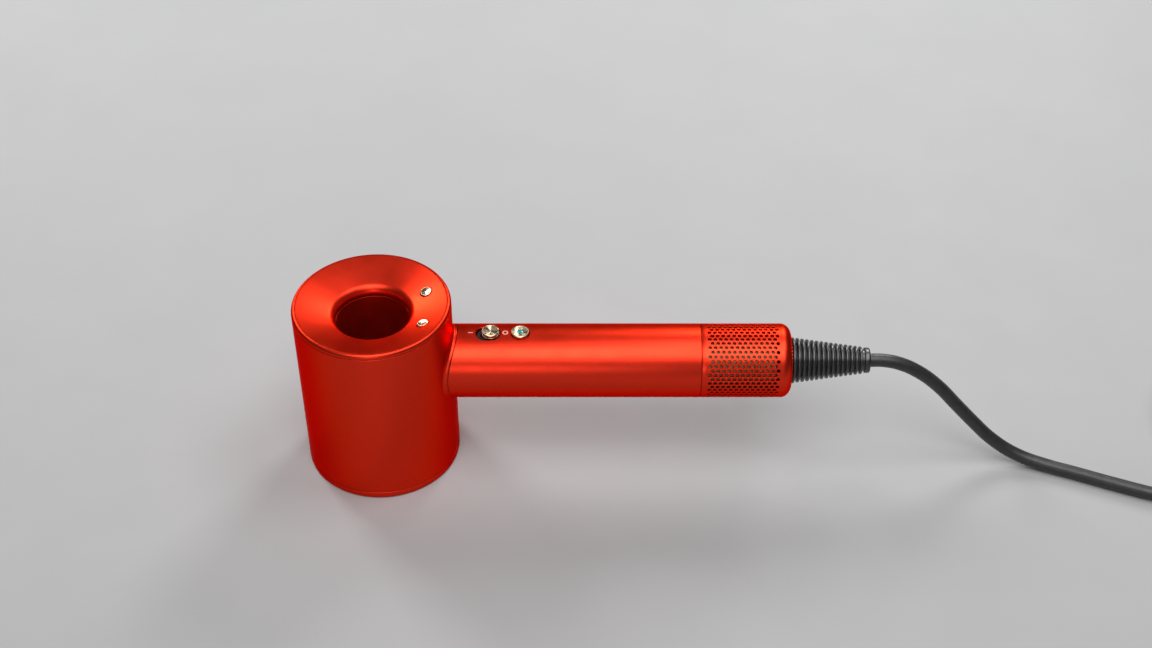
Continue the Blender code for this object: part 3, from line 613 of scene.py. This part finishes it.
def button_frame(side):
    """Axes on the flare's face at one of its two buttons: side 1 is towards +Y, and -1 towards -Y."""
    turn = Matrix.Rotation(side * BUTTON_SPREAD, 4, "Z")
    place = turn @ Vector((BUTTON_RING, 0, flare_height(BUTTON_RING)))
    return HEAD @ Matrix.Translation(place) @ turn @ Matrix.Rotation(-FLARE_ANGLE, 4, "Y")


def on_neck(phi, reach, radius):
    """The point at a reach from the bore's axis and a radius from the handle's, at an angle round it."""
    across = radius * math.sin(phi)
    return Vector((radius * math.cos(phi), across, math.sqrt(reach ** 2 - across ** 2)))


def neck_outline(phi):
    """The collar's closed outline at an angle round the handle."""
    fillet, fillet_steps = 1.3 * MM, 8
    inside = HEAD_RADIUS - 1.2 * MM
    short = 0.985    # the fillet starts just off the head's side, so that their faces never coincide
    shrink = HEAD_RADIUS / (HEAD_RADIUS + fillet)
    centre = on_neck(phi, HEAD_RADIUS + fillet, HANDLE_RADIUS + fillet)
    side = centre.copy()
    side.xy = side.xy * (HANDLE_RADIUS / (HANDLE_RADIUS + fillet))
    foot = Vector((centre.x, centre.y * shrink, centre.z * shrink))
    root = foot + (foot - centre).normalized() * (HEAD_RADIUS - inside)
    low, high = (foot - centre) * short, side - centre
    turn = low.angle(high)
    line = [on_neck(phi, inside, NECK_INSIDE), root]
    for step in range(fillet_steps + 1):
        t = step / fillet_steps
        bend = (low * math.sin((1 - t) * turn) + high * math.sin(t * turn)) / math.sin(turn)
        line.append(centre + bend)
    for t in (1.0, 0.5, 0.0):
        line.append(on_neck(phi, SADDLE_RADIUS - EDGE * t, HANDLE_RADIUS - EDGE * (1 - t) ** 2))
    line.append(on_neck(phi, SADDLE_RADIUS, NECK_INSIDE))
    return line


def neck_boss():
    """The neck's short collar: it springs from the head's side with a fillet and ends on the saddle."""
    around = 256
    outlines = [neck_outline(math.tau * k / around) for k in range(around)]
    return add_piece("neck_boss", *lofted(outlines, joined=True), HANDLE)


def make_shell():
    """The head's shell with the neck's collar on its side and the neck's hole through both."""
    top = HEAD_DEPTH - COVER_DEPTH - SEAM
    bottom = OUTLET_DEPTH + SEAM
    profile = [(SHELL_INSIDE, bottom), (HEAD_RADIUS, bottom, EDGE)]
    profile += [(HEAD_RADIUS, top, EDGE), (SHELL_INSIDE, top)]
    shell = turned("head_body", rounded(profile), HEAD, segments=384)
    bore = rod("neck_bore", NECK_INSIDE + 0.01 * MM, 20 * MM, 50 * MM, HANDLE, 256)
    carve(shell, ("UNION", neck_boss()), ("DIFFERENCE", bore))
    true_normals(shell)
    dress(shell, "casing", stands_for=["head_shell"])


def make_cover():
    """The flared rear cover: its spigot sits in the shell and its throat runs down into the bore."""
    under = throat_profile(COVER_WALL)
    throat_end = HEAD_DEPTH - THROAT_DEPTH
    step = HEAD_DEPTH - COVER_DEPTH
    spigot_end = step - 4 * MM
    spigot_top = under[0][1] + (SPIGOT_INSIDE - under[0][0]) * math.tan(FLARE_ANGLE)
    profile = [(HEAD_RADIUS, step, EDGE), *flare_profile(), (BORE_RADIUS, throat_end, 0.2 * MM)]
    profile += [(BORE_RADIUS + COVER_WALL, throat_end), *reversed(under), (SPIGOT_INSIDE, spigot_top)]
    profile += [(SPIGOT_INSIDE, spigot_end), (SPIGOT_OUTSIDE, spigot_end), (SPIGOT_OUTSIDE, step)]
    cover = turned("cover", rounded(profile), HEAD, segments=320)
    outline = circle(BUTTON_RADIUS + FLARE_BUTTON_GAP)
    holes = [edged_cutter("button_hole", outline, lambda x, y: 0, -6 * MM, 0.2 * MM, button_frame(side))
             for side in (1, -1)]
    carve(cover, *(("DIFFERENCE", hole) for hole in holes))
    true_normals(cover)
    dress(cover, "casing", stands_for=["rear_cover"])


def make_bore():
    """The tube through the head: its lower end turns out and back up as the air slot's inner wall."""
    top = HEAD_DEPTH - THROAT_DEPTH - SEAM
    outside = BORE_RADIUS + 1.6 * MM
    profile = [(outside, top), (BORE_RADIUS, top, 0.2 * MM), (BORE_RADIUS, 7 * MM, 2 * MM)]
    profile += in_mm((18.9, 3.5, 1), (20, 1.2, 0.4), (20.9, 1.2, 0.4), (21.5, 2.6, 0.6))
    profile += in_mm((21.5, 9, 2), (20.6, 16, 3))
    profile.append((outside, 24 * MM, 2 * MM))
    turned("bore_sleeve", rounded(profile, 8), HEAD, "bore", 256, stands_for=["bore_tube"])


def make_outlet():
    """The ring round the air slot: a round lip, the slot's outer wall and a spigot up into the shell."""
    slot, lip, wall, rim = 26 * MM, 4 * MM, 1.6 * MM, 1.5 * MM
    floor, wall_top, spigot_top = 2.2 * MM, 9 * MM, 8 * MM
    profile = [(HEAD_RADIUS, OUTLET_DEPTH, EDGE), *arc((HEAD_RADIUS - rim, rim), rim, 0, -90, 8)]
    profile += [*arc((slot + lip, lip), lip, -90, -180, 12), (slot, wall_top, 0.3 * MM)]
    profile += [(slot + wall, wall_top, 0.3 * MM), (slot + wall, lip), (slot + 3.5 * MM, floor)]
    profile += [(SPIGOT_INSIDE, floor), (SPIGOT_INSIDE, spigot_top)]
    profile += [(SPIGOT_OUTSIDE, spigot_top), (SPIGOT_OUTSIDE, OUTLET_DEPTH)]
    turned("outlet_lip", rounded(profile), HEAD, "casing", 320, stands_for=["outlet_ring"])


def make_flare_buttons():
    """Dished push buttons whose turned faces rise to a bright rim, with a flange and a stem behind."""
    flange, flange_top, flange_end = BUTTON_RADIUS + 0.9 * MM, -(COVER_WALL + SEAM), -3.1 * MM
    stem, stem_end = 1 * MM, -6.3 * MM
    profile = in_mm((0, 0.30), (0.35, 0.32))
    profile += [(BUTTON_RADIUS - 0.45 * MM, 0.75 * MM, 0.15 * MM), (BUTTON_RADIUS, 0.45 * MM, 0.15 * MM)]
    profile += [(BUTTON_RADIUS, flange_top), (flange, flange_top), (flange, flange_end)]
    profile += [(stem, flange_end), (stem, stem_end, 0.2 * MM), (0, stem_end)]
    for name, side in (("speed_button", 1), ("heat_button", -1)):
        turned(name + "_cap", rounded(profile), button_frame(side), "button_metal", 96, name, [name])


# Handle

def handle_surface(x, y):
    """The height of the handle's skin over its axis."""
    return math.sqrt(HANDLE_RADIUS ** 2 - y ** 2)


def make_handle():
    """The handle's tube, cut to the neck's saddle and for the slide switch and the cold-shot button."""
    start, end, inside = 25 * MM, CAGE_START - CAGE_SEAM, 16.9 * MM
    cut_bottom = 10 * MM
    profile = [(inside, start), (HANDLE_RADIUS, start), (HANDLE_RADIUS, end, CAGE_SEAM), (inside, end)]
    tube = turned("handle_body", rounded(profile), HANDLE, segments=256)
    saddle = rod("tube_saddle", SADDLE_RADIUS + SEAM, -5 * MM, HEAD_DEPTH + 5 * MM, HEAD, 384)
    slot_outline = obround(SLOT_LENGTH, SLOT_WIDTH, SLOT_PLACE)
    slot = edged_cutter("slot_cut", slot_outline, handle_surface, cut_bottom, 0.3 * MM, CONTROLS)
    hole_outline = circle(COLD_SHOT_RADIUS + COLD_SHOT_GAP, COLD_SHOT_PLACE)
    hole = edged_cutter("hole_cut", hole_outline, handle_surface, cut_bottom, 0.2 * MM, CONTROLS)
    carve(tube, ("DIFFERENCE", saddle), ("DIFFERENCE", slot), ("DIFFERENCE", hole))
    true_normals(tube)
    dress(tube, "casing", stands_for=["handle_tube"])


def on_handle(outline, height):
    """An outline wrapped round the handle, at a height over its skin."""
    radius = HANDLE_RADIUS + height
    turned_to = [(x, y / HANDLE_RADIUS) for x, y in outline]
    return [(x, radius * math.sin(angle), radius * math.cos(angle)) for x, angle in turned_to]


def make_marks():
    """The two printed marks beside the slide switch: a dash where it is on, a ring where it is off."""
    lift, sunk = 0.03 * MM, -0.1 * MM
    dash_place, ring_place = 47.7 * MM, 64.9 * MM
    dash = obround(2.5 * MM, 0.4 * MM, dash_place, 8)
    outer, inner = circle(1.42 * MM, ring_place, 48), circle(0.95 * MM, ring_place, 48)
    dash_rings = [on_handle(dash, sunk), on_handle(dash, lift)]
    ring_rings = [on_handle(outer, sunk), on_handle(outer, lift),
                  on_handle(inner, lift), on_handle(inner, sunk)]
    for name, rings, joined in (("mark_on", dash_rings, False), ("mark_off", ring_rings, True)):
        mark = add_piece(name, *lofted(rings, joined), CONTROLS)
        mark.data.materials.append(PRINT)
        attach(mark, "dryer")


def make_slider_track():
    """The dark plate in the slide switch's recess, with the slit that the knob's stem runs in."""
    clearance, bevel = 0.6 * MM, 0.3 * MM
    bottom, top, slit_bottom = 14.8 * MM, 16.8 * MM, 13 * MM
    track = obround(SLOT_LENGTH - clearance, SLOT_WIDTH - clearance, SLOT_PLACE)
    rings = [[(x, y, bottom) for x, y in track], [(x, y, top - bevel) for x, y in track],
             [(x, y, top) for x, y in grown(track, -bevel)]]
    plate = add_piece("slot_floor", *lofted(rings), CONTROLS)
    slit = obround(7.4 * MM, 2.4 * MM, SLIDER_PLACE - SLIDER_TRAVEL / 2, 12)
    cut = edged_cutter("slit_cut", slit, lambda x, y: top, slit_bottom, 0.25 * MM, CONTROLS)
    dress(carve(plate, ("DIFFERENCE", cut)), "black_plastic", stands_for=["slider_track"])


def make_slider_knob():
    """The slide switch's turned knob: a dished cap and a disc with a groove between, on a flat stem."""
    base, groove, groove_top, edge = 17.1 * MM, 18.3 * MM, 19.2 * MM, 0.15 * MM
    neck = SLIDER_RADIUS - 1.2 * MM
    profile = in_mm((0, 19.50), (0.5, 19.52))
    profile += [(SLIDER_RADIUS - 0.35 * MM, 20 * MM, 0.12 * MM), (SLIDER_RADIUS, 19.7 * MM, 0.12 * MM)]
    profile += [(SLIDER_RADIUS, groove_top, edge), (neck, groove_top), (neck, groove)]
    profile += [(SLIDER_RADIUS, groove, edge), (SLIDER_RADIUS, base, edge), (0, base)]
    matrix = CONTROLS @ Matrix.Translation((SLIDER_PLACE, 0, 0))
    knob = turned("slide_knob", rounded(profile), matrix, segments=128)
    half_x, half_y = 1.8 * MM, 0.8 * MM
    corners = [(-half_x, -half_y), (half_x, -half_y), (half_x, half_y), (-half_x, half_y)]
    stem = [[(x, y, z) for x, y in corners] for z in (12.9 * MM, 18 * MM)]
    carve(knob, ("UNION", add_piece("stem", *lofted(stem), matrix)))
    dress(knob, "button_metal", "power_slider", ["power_slider"])


def make_cold_shot():
    """The cold-shot button: a dished cap with a flange and a stem, and a domed insert in its middle."""
    matrix = CONTROLS @ Matrix.Translation((COLD_SHOT_PLACE, 0, 0))
    profile = in_mm((0, 18.6), (1.6, 18.6), (1.6, 19.12, 0.1))
    profile += [(COLD_SHOT_RADIUS - 0.4 * MM, 19.5 * MM, 0.12 * MM)]
    profile += [(COLD_SHOT_RADIUS, 19.15 * MM, 0.12 * MM), (COLD_SHOT_RADIUS, 15.6 * MM)]
    profile += in_mm((5.3, 15.6), (5.3, 14.9), (1.2, 14.9), (1.2, 12.5), (0, 12.5))
    turned("cold_shot_cap", rounded(profile), matrix, "button_metal", 128, "cold_shot_button",
           ["cold_shot_button"])
    profile = in_mm((0, 19.3), (1.1, 19.2), (1.45, 19.0), (1.45, 18.75), (0, 18.75))
    turned("cold_shot_insert", rounded(profile), matrix, "lens", 64, "cold_shot_button", ["cold_shot_lens"])


def round_handle(axial, angle, radius):
    return (radius * math.cos(angle), radius * math.sin(angle), axial)


def bridge(bm, a, b):
    """Faces between two closed loops of vertices."""
    for k in range(len(a)):
        n = (k + 1) % len(a)
        bm.faces.new((a[k], a[n], b[n], b[k]))


def cell_outline():
    """One hexagonal cell of the cage, laid flat, with two edges to a side."""
    per_side = 2
    half, flat, peak = CAGE_PITCH / 2, CAGE_PITCH / math.sqrt(12), CAGE_PITCH / math.sqrt(3)
    corners = [(half, -flat), (half, flat), (0, peak), (-half, flat), (-half, -flat), (0, -peak)]
    outline = []
    for a, b in zip(corners, corners[1:] + corners[:1]):
        outline += [Vector(a).lerp(Vector(b), step / per_side) for step in range(per_side)]
    return outline


def add_cells(bm):
    """The cage's cells, each from its outer face through a chamfered round hole to its inner face."""
    hole, chamfer = 0.92 * MM, 0.1 * MM
    row_angle = math.tau / CAGE_ROWS
    turn_per_metre = row_angle / (CAGE_PITCH * math.sqrt(3) / 2)
    whole_cell = None
    levels = ((whole_cell, HANDLE_RADIUS), (hole + chamfer, HANDLE_RADIUS), (hole, HANDLE_RADIUS - chamfer),
              (hole, CAGE_INSIDE), (whole_cell, CAGE_INSIDE))
    outline = cell_outline()
    for row in range(CAGE_ROWS):
        for column in range(CAGE_COLUMNS):
            axial = CAGE_FIRST + CAGE_PITCH * (column + 0.5 * (row % 2))
            angle = row * row_angle
            rings = []
            for size, radius in levels:
                points = [point.normalized() * size if size else point for point in outline]
                rings.append([bm.verts.new(round_handle(axial + x, angle + y * turn_per_metre, radius))
                              for x, y in points])
            for a, b in zip(rings, rings[1:]):
                bridge(bm, a, b)


def cage_border(bm, radius, far):
    """The vertices at one end of the cells, at a radius, in turn round the handle."""
    middle = CAGE_FIRST + CAGE_PITCH * CAGE_COLUMNS / 2
    ends = [v for v in bm.verts if any(edge.is_boundary for edge in v.link_edges)
            and abs(v.co.xy.length - radius) < 0.01 * MM and (v.co.z > middle) == far]
    return sorted(ends, key=lambda v: math.atan2(v.co.y, v.co.x))


def close_end(bm, outer_loop, inner_loop, profile, notched=()):
    """Closes an end of the cage by rings along a profile; notched rings are sunk at two vertices in four."""
    notch = 0.4 * MM
    loop = outer_loop
    for level, (radius, axial) in enumerate(profile):
        ring = []
        for k, v in enumerate(outer_loop):
            sink = notch if level in notched and k % 4 < 2 else 0
            angle = math.atan2(v.co.y, v.co.x)
            ring.append(bm.verts.new(round_handle(axial - sink, angle, radius - sink)))
        bridge(bm, loop, ring)
        loop = ring
    bridge(bm, loop, inner_loop)


def make_cage():
    """The perforated cage: a plain band, hexagonal cells with round holes, and a rounded, notched end."""
    bm = bmesh.new()
    add_cells(bm)
    bmesh.ops.remove_doubles(bm, verts=bm.verts, dist=0.01 * MM)
    near_outer, near_inner = cage_border(bm, HANDLE_RADIUS, False), cage_border(bm, CAGE_INSIDE, False)
    far_outer, far_inner = cage_border(bm, HANDLE_RADIUS, True), cage_border(bm, CAGE_INSIDE, True)

    cells_start, cells_end = CAGE_FIRST - 1.9 * MM, 201.6 * MM
    start = [(HANDLE_RADIUS, cells_start), (HANDLE_RADIUS, CAGE_START + CAGE_SEAM)]
    start += [(HANDLE_RADIUS - CAGE_SEAM * 0.3, CAGE_START + CAGE_SEAM * 0.3)]
    start += [(HANDLE_RADIUS - CAGE_SEAM, CAGE_START), (CAGE_INSIDE, CAGE_START)]
    close_end(bm, near_outer, near_inner, start)

    bend, gap, gap_edge, wall = 5 * MM, 12.3 * MM, 0.3 * MM, HANDLE_RADIUS - CAGE_INSIDE
    centre = (HANDLE_RADIUS - bend, HANDLE_END - bend)
    end = [(HANDLE_RADIUS, cells_end), *arc(centre, bend, 0, 90, 18)]
    end += [(gap + gap_edge, HANDLE_END), (gap, HANDLE_END - gap_edge), (gap, HANDLE_END - wall)]
    end += arc(centre, bend - wall, 90, 0, 6)
    on_bend = (14, 15)
    close_end(bm, far_outer, far_inner, end, notched=on_bend)

    cage = object_from("cage", bm, HANDLE, smooth=32)
    true_normals(cage, 5)
    dress(cage, "casing", "filter_cage", ["filter_cage"])


def make_fine_mesh():
    """The sleeve of fine mesh behind the cage's holes."""
    profile = in_mm((16.15, 163.6), (16.55, 163.6), (16.55, 198.4), (16.15, 198.4))
    turned("fine_mesh", profile, HANDLE, "filter_mesh", 128, stands_for=["filter_mesh"])


def make_relief():
    """The ribbed strain relief, tapering to a collar that the cord comes out of."""
    ribs, setback = 15, 0.35 * MM
    start, end = HANDLE_END + 0.5 * MM, RELIEF_END - 0.05 * MM
    collar_start = RELIEF_END - 3.2 * MM
    radius, tip, depth = 11.7 * MM, 6.4 * MM, 2.3 * MM
    socket, mouth = radius - 0.6 * MM, CORD_RADIUS + 0.12 * MM
    pitch = (collar_start - start) / ribs
    profile = [(0, start - 4 * MM), (socket, start - 4 * MM), (socket, start - 1.2 * MM)]
    profile.append((radius - depth, start - 0.2 * MM))
    for k in range(ribs):
        share = (k + 0.5) / ribs
        crown = radius + (tip + 0.35 * MM - radius) * share
        valley = crown - depth * (1 - 0.45 * share)
        low = start + k * pitch
        profile += [(valley, low + 0.10 * pitch), (crown, low + 0.14 * pitch, setback)]
        profile += [(crown, low + 0.60 * pitch, setback), (valley, low + 0.66 * pitch)]
    profile += [(tip - 0.9 * MM, collar_start + 0.3 * MM), (tip, collar_start + 0.5 * MM, 0.3 * MM)]
    profile += [(tip, end, 0.9 * MM), (mouth, end, 0.4 * MM)]
    profile += [(mouth, RELIEF_END - 5 * MM), (0, RELIEF_END - 5 * MM)]
    turned("relief", rounded(profile, 3), HANDLE, "relief_rubber", 128, stands_for=["strain_relief"])


# Lead

# The cord's route in millimetres: out of the relief and down to the floor, and from the coil to the plug
RUN_MM = (
    (139.5, 0, 59.2), (143.3, 0, 59.2), (150, 0, 59.1), (158, -0.5, 57.6), (168, -1.5, 53), (179, -3, 44.5),
    (189, -5, 34), (199, -7, 23.5), (210, -10, 13.5), (223, -14, 6.4), (237, -19, 3.9),
    (252, -24.7, 3.5), (270, -32.2, 3.5), (290, -39.8, 3.6), (310, -45, 3.9), (327.4, -47, 4.3),
)
TAIL_MM = (
    (364, -48.1, 25), (374, -48.8, 23.4), (384.2, -48, 19.9), (391, -46.5, 16.9), (397.2, -45, 14.5),
    (403.6, -44, 13.1), (407, -43.8, 12.9),
)
COIL_CENTRE = Vector((355 * MM, 0, 0))
COIL_MIDDLE = 38.3 * MM
COIL_BASE = 1.1 * MM
COIL_PITCH = 6.9 * MM
COIL_TURNS = 10
COIL_STEPS = 24
COIL_LAYERS = 4
PLUG_START = Vector((404 * MM, -44 * MM, 13 * MM))


def smoothstep(t):
    t = min(1, max(0, t))
    return t * t * (3 - 2 * t)


def coil_points():
    """Turns wound in and out, layer on layer, a cord's diameter apart and above each other."""
    in_layer = COIL_TURNS / COIL_LAYERS
    climb = 0.3    # turns over which the cord rises to the next layer
    points = []
    for k in range(COIL_TURNS * COIL_STEPS + 1):
        turn = k / COIL_STEPS
        layer = min(int(turn / in_layer), COIL_LAYERS - 1)
        share = turn / in_layer - layer
        share = 1 - share if layer % 2 else share
        radius = COIL_MIDDLE + COIL_PITCH * in_layer * (0.5 - share)
        raised = sum(smoothstep((turn - in_layer * step) / climb + 0.5) for step in range(1, COIL_LAYERS))
        angle = math.tau * turn - math.pi / 2
        height = COIL_BASE + CORD_RADIUS + 2 * CORD_RADIUS * raised
        points.append(COIL_CENTRE + Vector((radius * math.cos(angle), radius * math.sin(angle), height)))
    return points


def make_cord(with_pieces):
    """The mains cord, as one smooth curve: its run, its coil and its tail into the plug."""
    run = [Vector(place) * MM for place in RUN_MM]
    coil = coil_points()
    tail = [Vector(place) * MM for place in TAIL_MM]
    points = [*run, run[-1].lerp(coil[0], 0.5), *coil, *tail]
    curve = bpy.data.curves.new("cord", "CURVE")
    curve.dimensions = "3D"
    curve.bevel_depth = CORD_RADIUS
    curve.bevel_resolution = 5
    curve.use_fill_caps = True
    curve.resolution_u = 4
    spline = curve.splines.new("BEZIER")
    spline.bezier_points.add(len(points) - 1)
    for place, point in zip(spline.bezier_points, points):
        place.co = point
        place.handle_left_type = place.handle_right_type = "AUTO"
    cord = bpy.data.objects.new("cord", curve)
    bpy.context.scene.collection.objects.link(cord)
    dress(cord, "cord_rubber", stands_for=["cord_run", "cord_coil", "cord_tail"])


def hull(points):
    """The corners of the convex outline round some points, in turn."""

    def half(ordered):
        chain = []
        for point in ordered:
            while len(chain) > 1 and (chain[-1] - chain[-2]).cross(point - chain[-2]) <= 0:
                chain.pop()
            chain.append(point)
        return chain[:-1]

    ordered = sorted((Vector(point) for point in points), key=lambda point: (point.x, point.y))
    return half(ordered) + half(ordered[::-1])


def make_tie():
    """A woven strap pulled tight round the coil, with its end lapped over itself on the outside."""
    turned_to, wide = 60, 10 * MM
    band, lap, thread = 0.8 * MM, 0.75 * MM, 0.25 * MM
    lap_bottom, lap_top = 6 * MM, 21 * MM
    frame_there = Matrix.Translation(COIL_CENTRE) @ Matrix.Rotation(math.radians(turned_to), 4, "Z")
    first = (turned_to + 90) * COIL_STEPS // 360
    around = []
    for place in coil_points()[first::COIL_STEPS]:
        x, _, z = frame_there.inverted() @ place
        around += [(x + dx, z + dz) for dx, dz in circle(CORD_RADIUS + 0.05 * MM, steps=32)]
    inner = hull(around)
    outer = grown(inner, band)
    middle = sum(point.x for point in inner) / len(inner)
    lapped = [x > middle and lap_bottom < z < lap_top for x, z in outer]
    proud = [far if over else near for near, far, over in zip(outer, grown(inner, band + lap), lapped)]
    worn = grown(proud, -thread)
    half = wide / 2
    sections = [(proud, thread - half), (proud, half - thread), (worn, half), (inner, half), (inner, -half)]
    sections.append((worn, -half))
    rings = [[(x, across, z) for x, z in outline] for outline, across in sections]
    return add_piece("strap", *lofted(rings, joined=True), frame_there, "tie", stands_for=["cable_tie"])


def plug_section(z, shrink):
    """The grip's rounded outline at a height, drawn in on every side by shrink."""
    high, wide, corner = 26 * MM, 35 * MM, 7 * MM
    x, y, setback = high / 2 - shrink, wide / 2 - shrink, max(corner - shrink, 1.5 * MM)
    box = [(x, -y, setback), (x, y, setback), (-x, y, setback), (-x, -y, setback)]
    return [(a, b, z) for a, b in rounded(box, 8)]


def boot_profile(boot):
    """The boot's ribs, widening to the grip, and its end inside the grip."""
    ribs, pitch = 6, 2.9 * MM
    profile = [(0, 0), (4.6 * MM, 0, 0.6 * MM)]
    for k in range(ribs):
        crown = (5.0 + 0.62 * k) * MM
        low = 0.9 * MM + k * pitch
        profile += [(crown, low, 0.3 * MM), (crown + 0.25 * MM, low + 1.9 * MM, 0.3 * MM)]
        profile += [(crown - 0.9 * MM, low + 2.1 * MM), (crown - 0.75 * MM, low + 2.75 * MM)]
    return profile + [(8.4 * MM, boot - 1 * MM), (8.5 * MM, boot + 4 * MM), (0, boot + 4 * MM)]


def make_plug():
    """A moulded two-pin plug: a softly rounded grip, a ribbed boot and round pins."""
    matrix = Matrix.Translation(PLUG_START) @ Matrix.Rotation(math.pi / 2, 4, "Y")
    boot, length = 20 * MM, 38 * MM
    # Along the grip and how far it is drawn in there, in millimetres
    levels = [(0, 5.5), (0.5, 4.3), (1.6, 3.0), (3.5, 1.7), (6, 0.8), (9, 0.25), (12, 0.4), (16, 1.0),
              (20, 1.2), (24, 1.0), (28, 0.4), (31, 0), (35.5, 0), (36.9, 0.3), (37.7, 0.9), (38, 1.7)]
    sections = [plug_section(boot + along * MM, shrink * MM) for along, shrink in levels]
    body = add_piece("plug_grip", *lofted(sections), matrix)
    carve(body, ("UNION", turned("plug_boot", rounded(boot_profile(boot), 3), matrix, segments=96)))
    dress(body, "plug_plastic", stands_for=["plug_body"])

    radius, spread = 2 * MM, 9.5 * MM
    face = boot + length + SEAM
    tip = boot + length + 19 * MM
    profile = [(0, face), (radius, face, 0.1 * MM), (radius, tip - 1.1 * MM, 0.5 * MM)]
    profile += [(1.2 * MM, tip, 0.4 * MM), (0, tip)]
    pins = [turned(f"pin_{number}", rounded(profile, 6), matrix @ Matrix.Translation((0, side * spread, 0)),
                   "pin_metal", 48, stands_for=[f"plug_pin_{number}"])
            for number, side in ((1, 1), (2, -1))]
    return [body, *pins]


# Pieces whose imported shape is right

def finish_nodes():
    """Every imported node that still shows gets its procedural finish, by the record's material slots."""
    slots = {part["node"]: part["material_slot"] for part in frame["record"]["subparts"]}
    for name, obj in nodes.items():
        if obj.hide_render:
            continue
        for slot in obj.material_slots:
            slot.material = FINISHES[slots[name]]


# Floor, lights and camera

def make_floor():
    """A plain, pale, matt floor, far wider than the view."""
    made = Finish("floor", Specular_IOR_Level=0.3)
    made.colour(made.noise(60 * MM, 3), (0.40, 0.40, 0.404), (0.412, 0.412, 0.416))
    made.roughness(made.noise(20 * MM, 3), 0.65, 0.75)
    reach = 60
    mesh = bpy.data.meshes.new("floor")
    corners = [(-reach, -reach, 0), (reach, -reach, 0), (reach, reach, 0), (-reach, reach, 0)]
    mesh.from_pydata(corners, [], [(0, 1, 2, 3)])
    mesh.materials.append(made.made)
    floor = bpy.data.objects.new("floor", mesh)
    bpy.context.scene.collection.objects.link(floor)


def area_light(name, towards, distance, size, power, target):
    """A softbox in a direction from the target, facing it; size is across and up."""
    data = bpy.data.lights.new(name, "AREA")
    data.shape = "RECTANGLE"
    data.size, data.size_y = size
    data.energy = power
    light = bpy.data.objects.new(name, data)
    bpy.context.scene.collection.objects.link(light)
    back = Vector(towards).normalized()
    light.location = Vector(target) + back * distance
    light.rotation_euler = back.to_track_quat("Z", "Y").to_euler()


def direction(azimuth, elevation):
    """A unit vector: azimuth 0 is towards -Y, where the viewer is, and 90 towards +X."""
    a, e = math.radians(azimuth), math.radians(elevation)
    return (math.sin(a) * math.cos(e), -math.cos(a) * math.cos(e), math.sin(e))


def make_lights():
    """A wide soft key, softboxes behind on each side, in front and above, and a dim sky."""
    sun = bpy.data.lights.new("key", "SUN")
    sun.energy = 1.8
    sun.angle = math.radians(38)
    key = bpy.data.objects.new("key", sun)
    key.rotation_euler = Vector(direction(0, 64)).to_track_quat("Z", "Y").to_euler()
    bpy.context.scene.collection.objects.link(key)
    flare, handle = (HEAD_X, 0, HEAD_DEPTH), (0.06, 0, HANDLE_HEIGHT)
    area_light("back_left", direction(180 + 38, 33), 1.2, (0.3, 0.45), 6, flare)
    area_light("back_right", direction(180 - 29, 33), 1.2, (0.3, 0.45), 5.6, flare)
    area_light("front", direction(0, 14), 1.1, (0.28, 0.26), 1.1, flare)
    area_light("above", (0.29, 0.05, 0.93), 1, (0.42, 0.4), 3, handle)
    world = bpy.data.worlds.new("studio")
    world.use_nodes = True
    sky = world.node_tree.nodes["Background"]
    sky.inputs["Color"].default_value = (0.97, 0.98, 1, 1)
    sky.inputs["Strength"].default_value = 0.08
    bpy.context.scene.world = world
    bpy.context.scene.view_settings.view_transform = "Standard"


def make_camera():
    data = bpy.data.cameras.new("camera")
    data.lens = CAMERA_LENS
    data.sensor_width = 36
    camera = bpy.data.objects.new("camera", data)
    camera.location = CAMERA_PLACE
    camera.rotation_euler = (CAMERA_TILT, 0, 0)
    bpy.context.scene.collection.objects.link(camera)
    bpy.context.scene.camera = camera


make_camera()
make_cord([make_tie(), *make_plug()])
make_shell()
make_cover()
make_bore()
make_outlet()
make_flare_buttons()
make_handle()
make_marks()
make_slider_track()
make_slider_knob()
make_cold_shot()
make_cage()
make_fine_mesh()
make_relief()
finish_nodes()
make_floor()
make_lights()
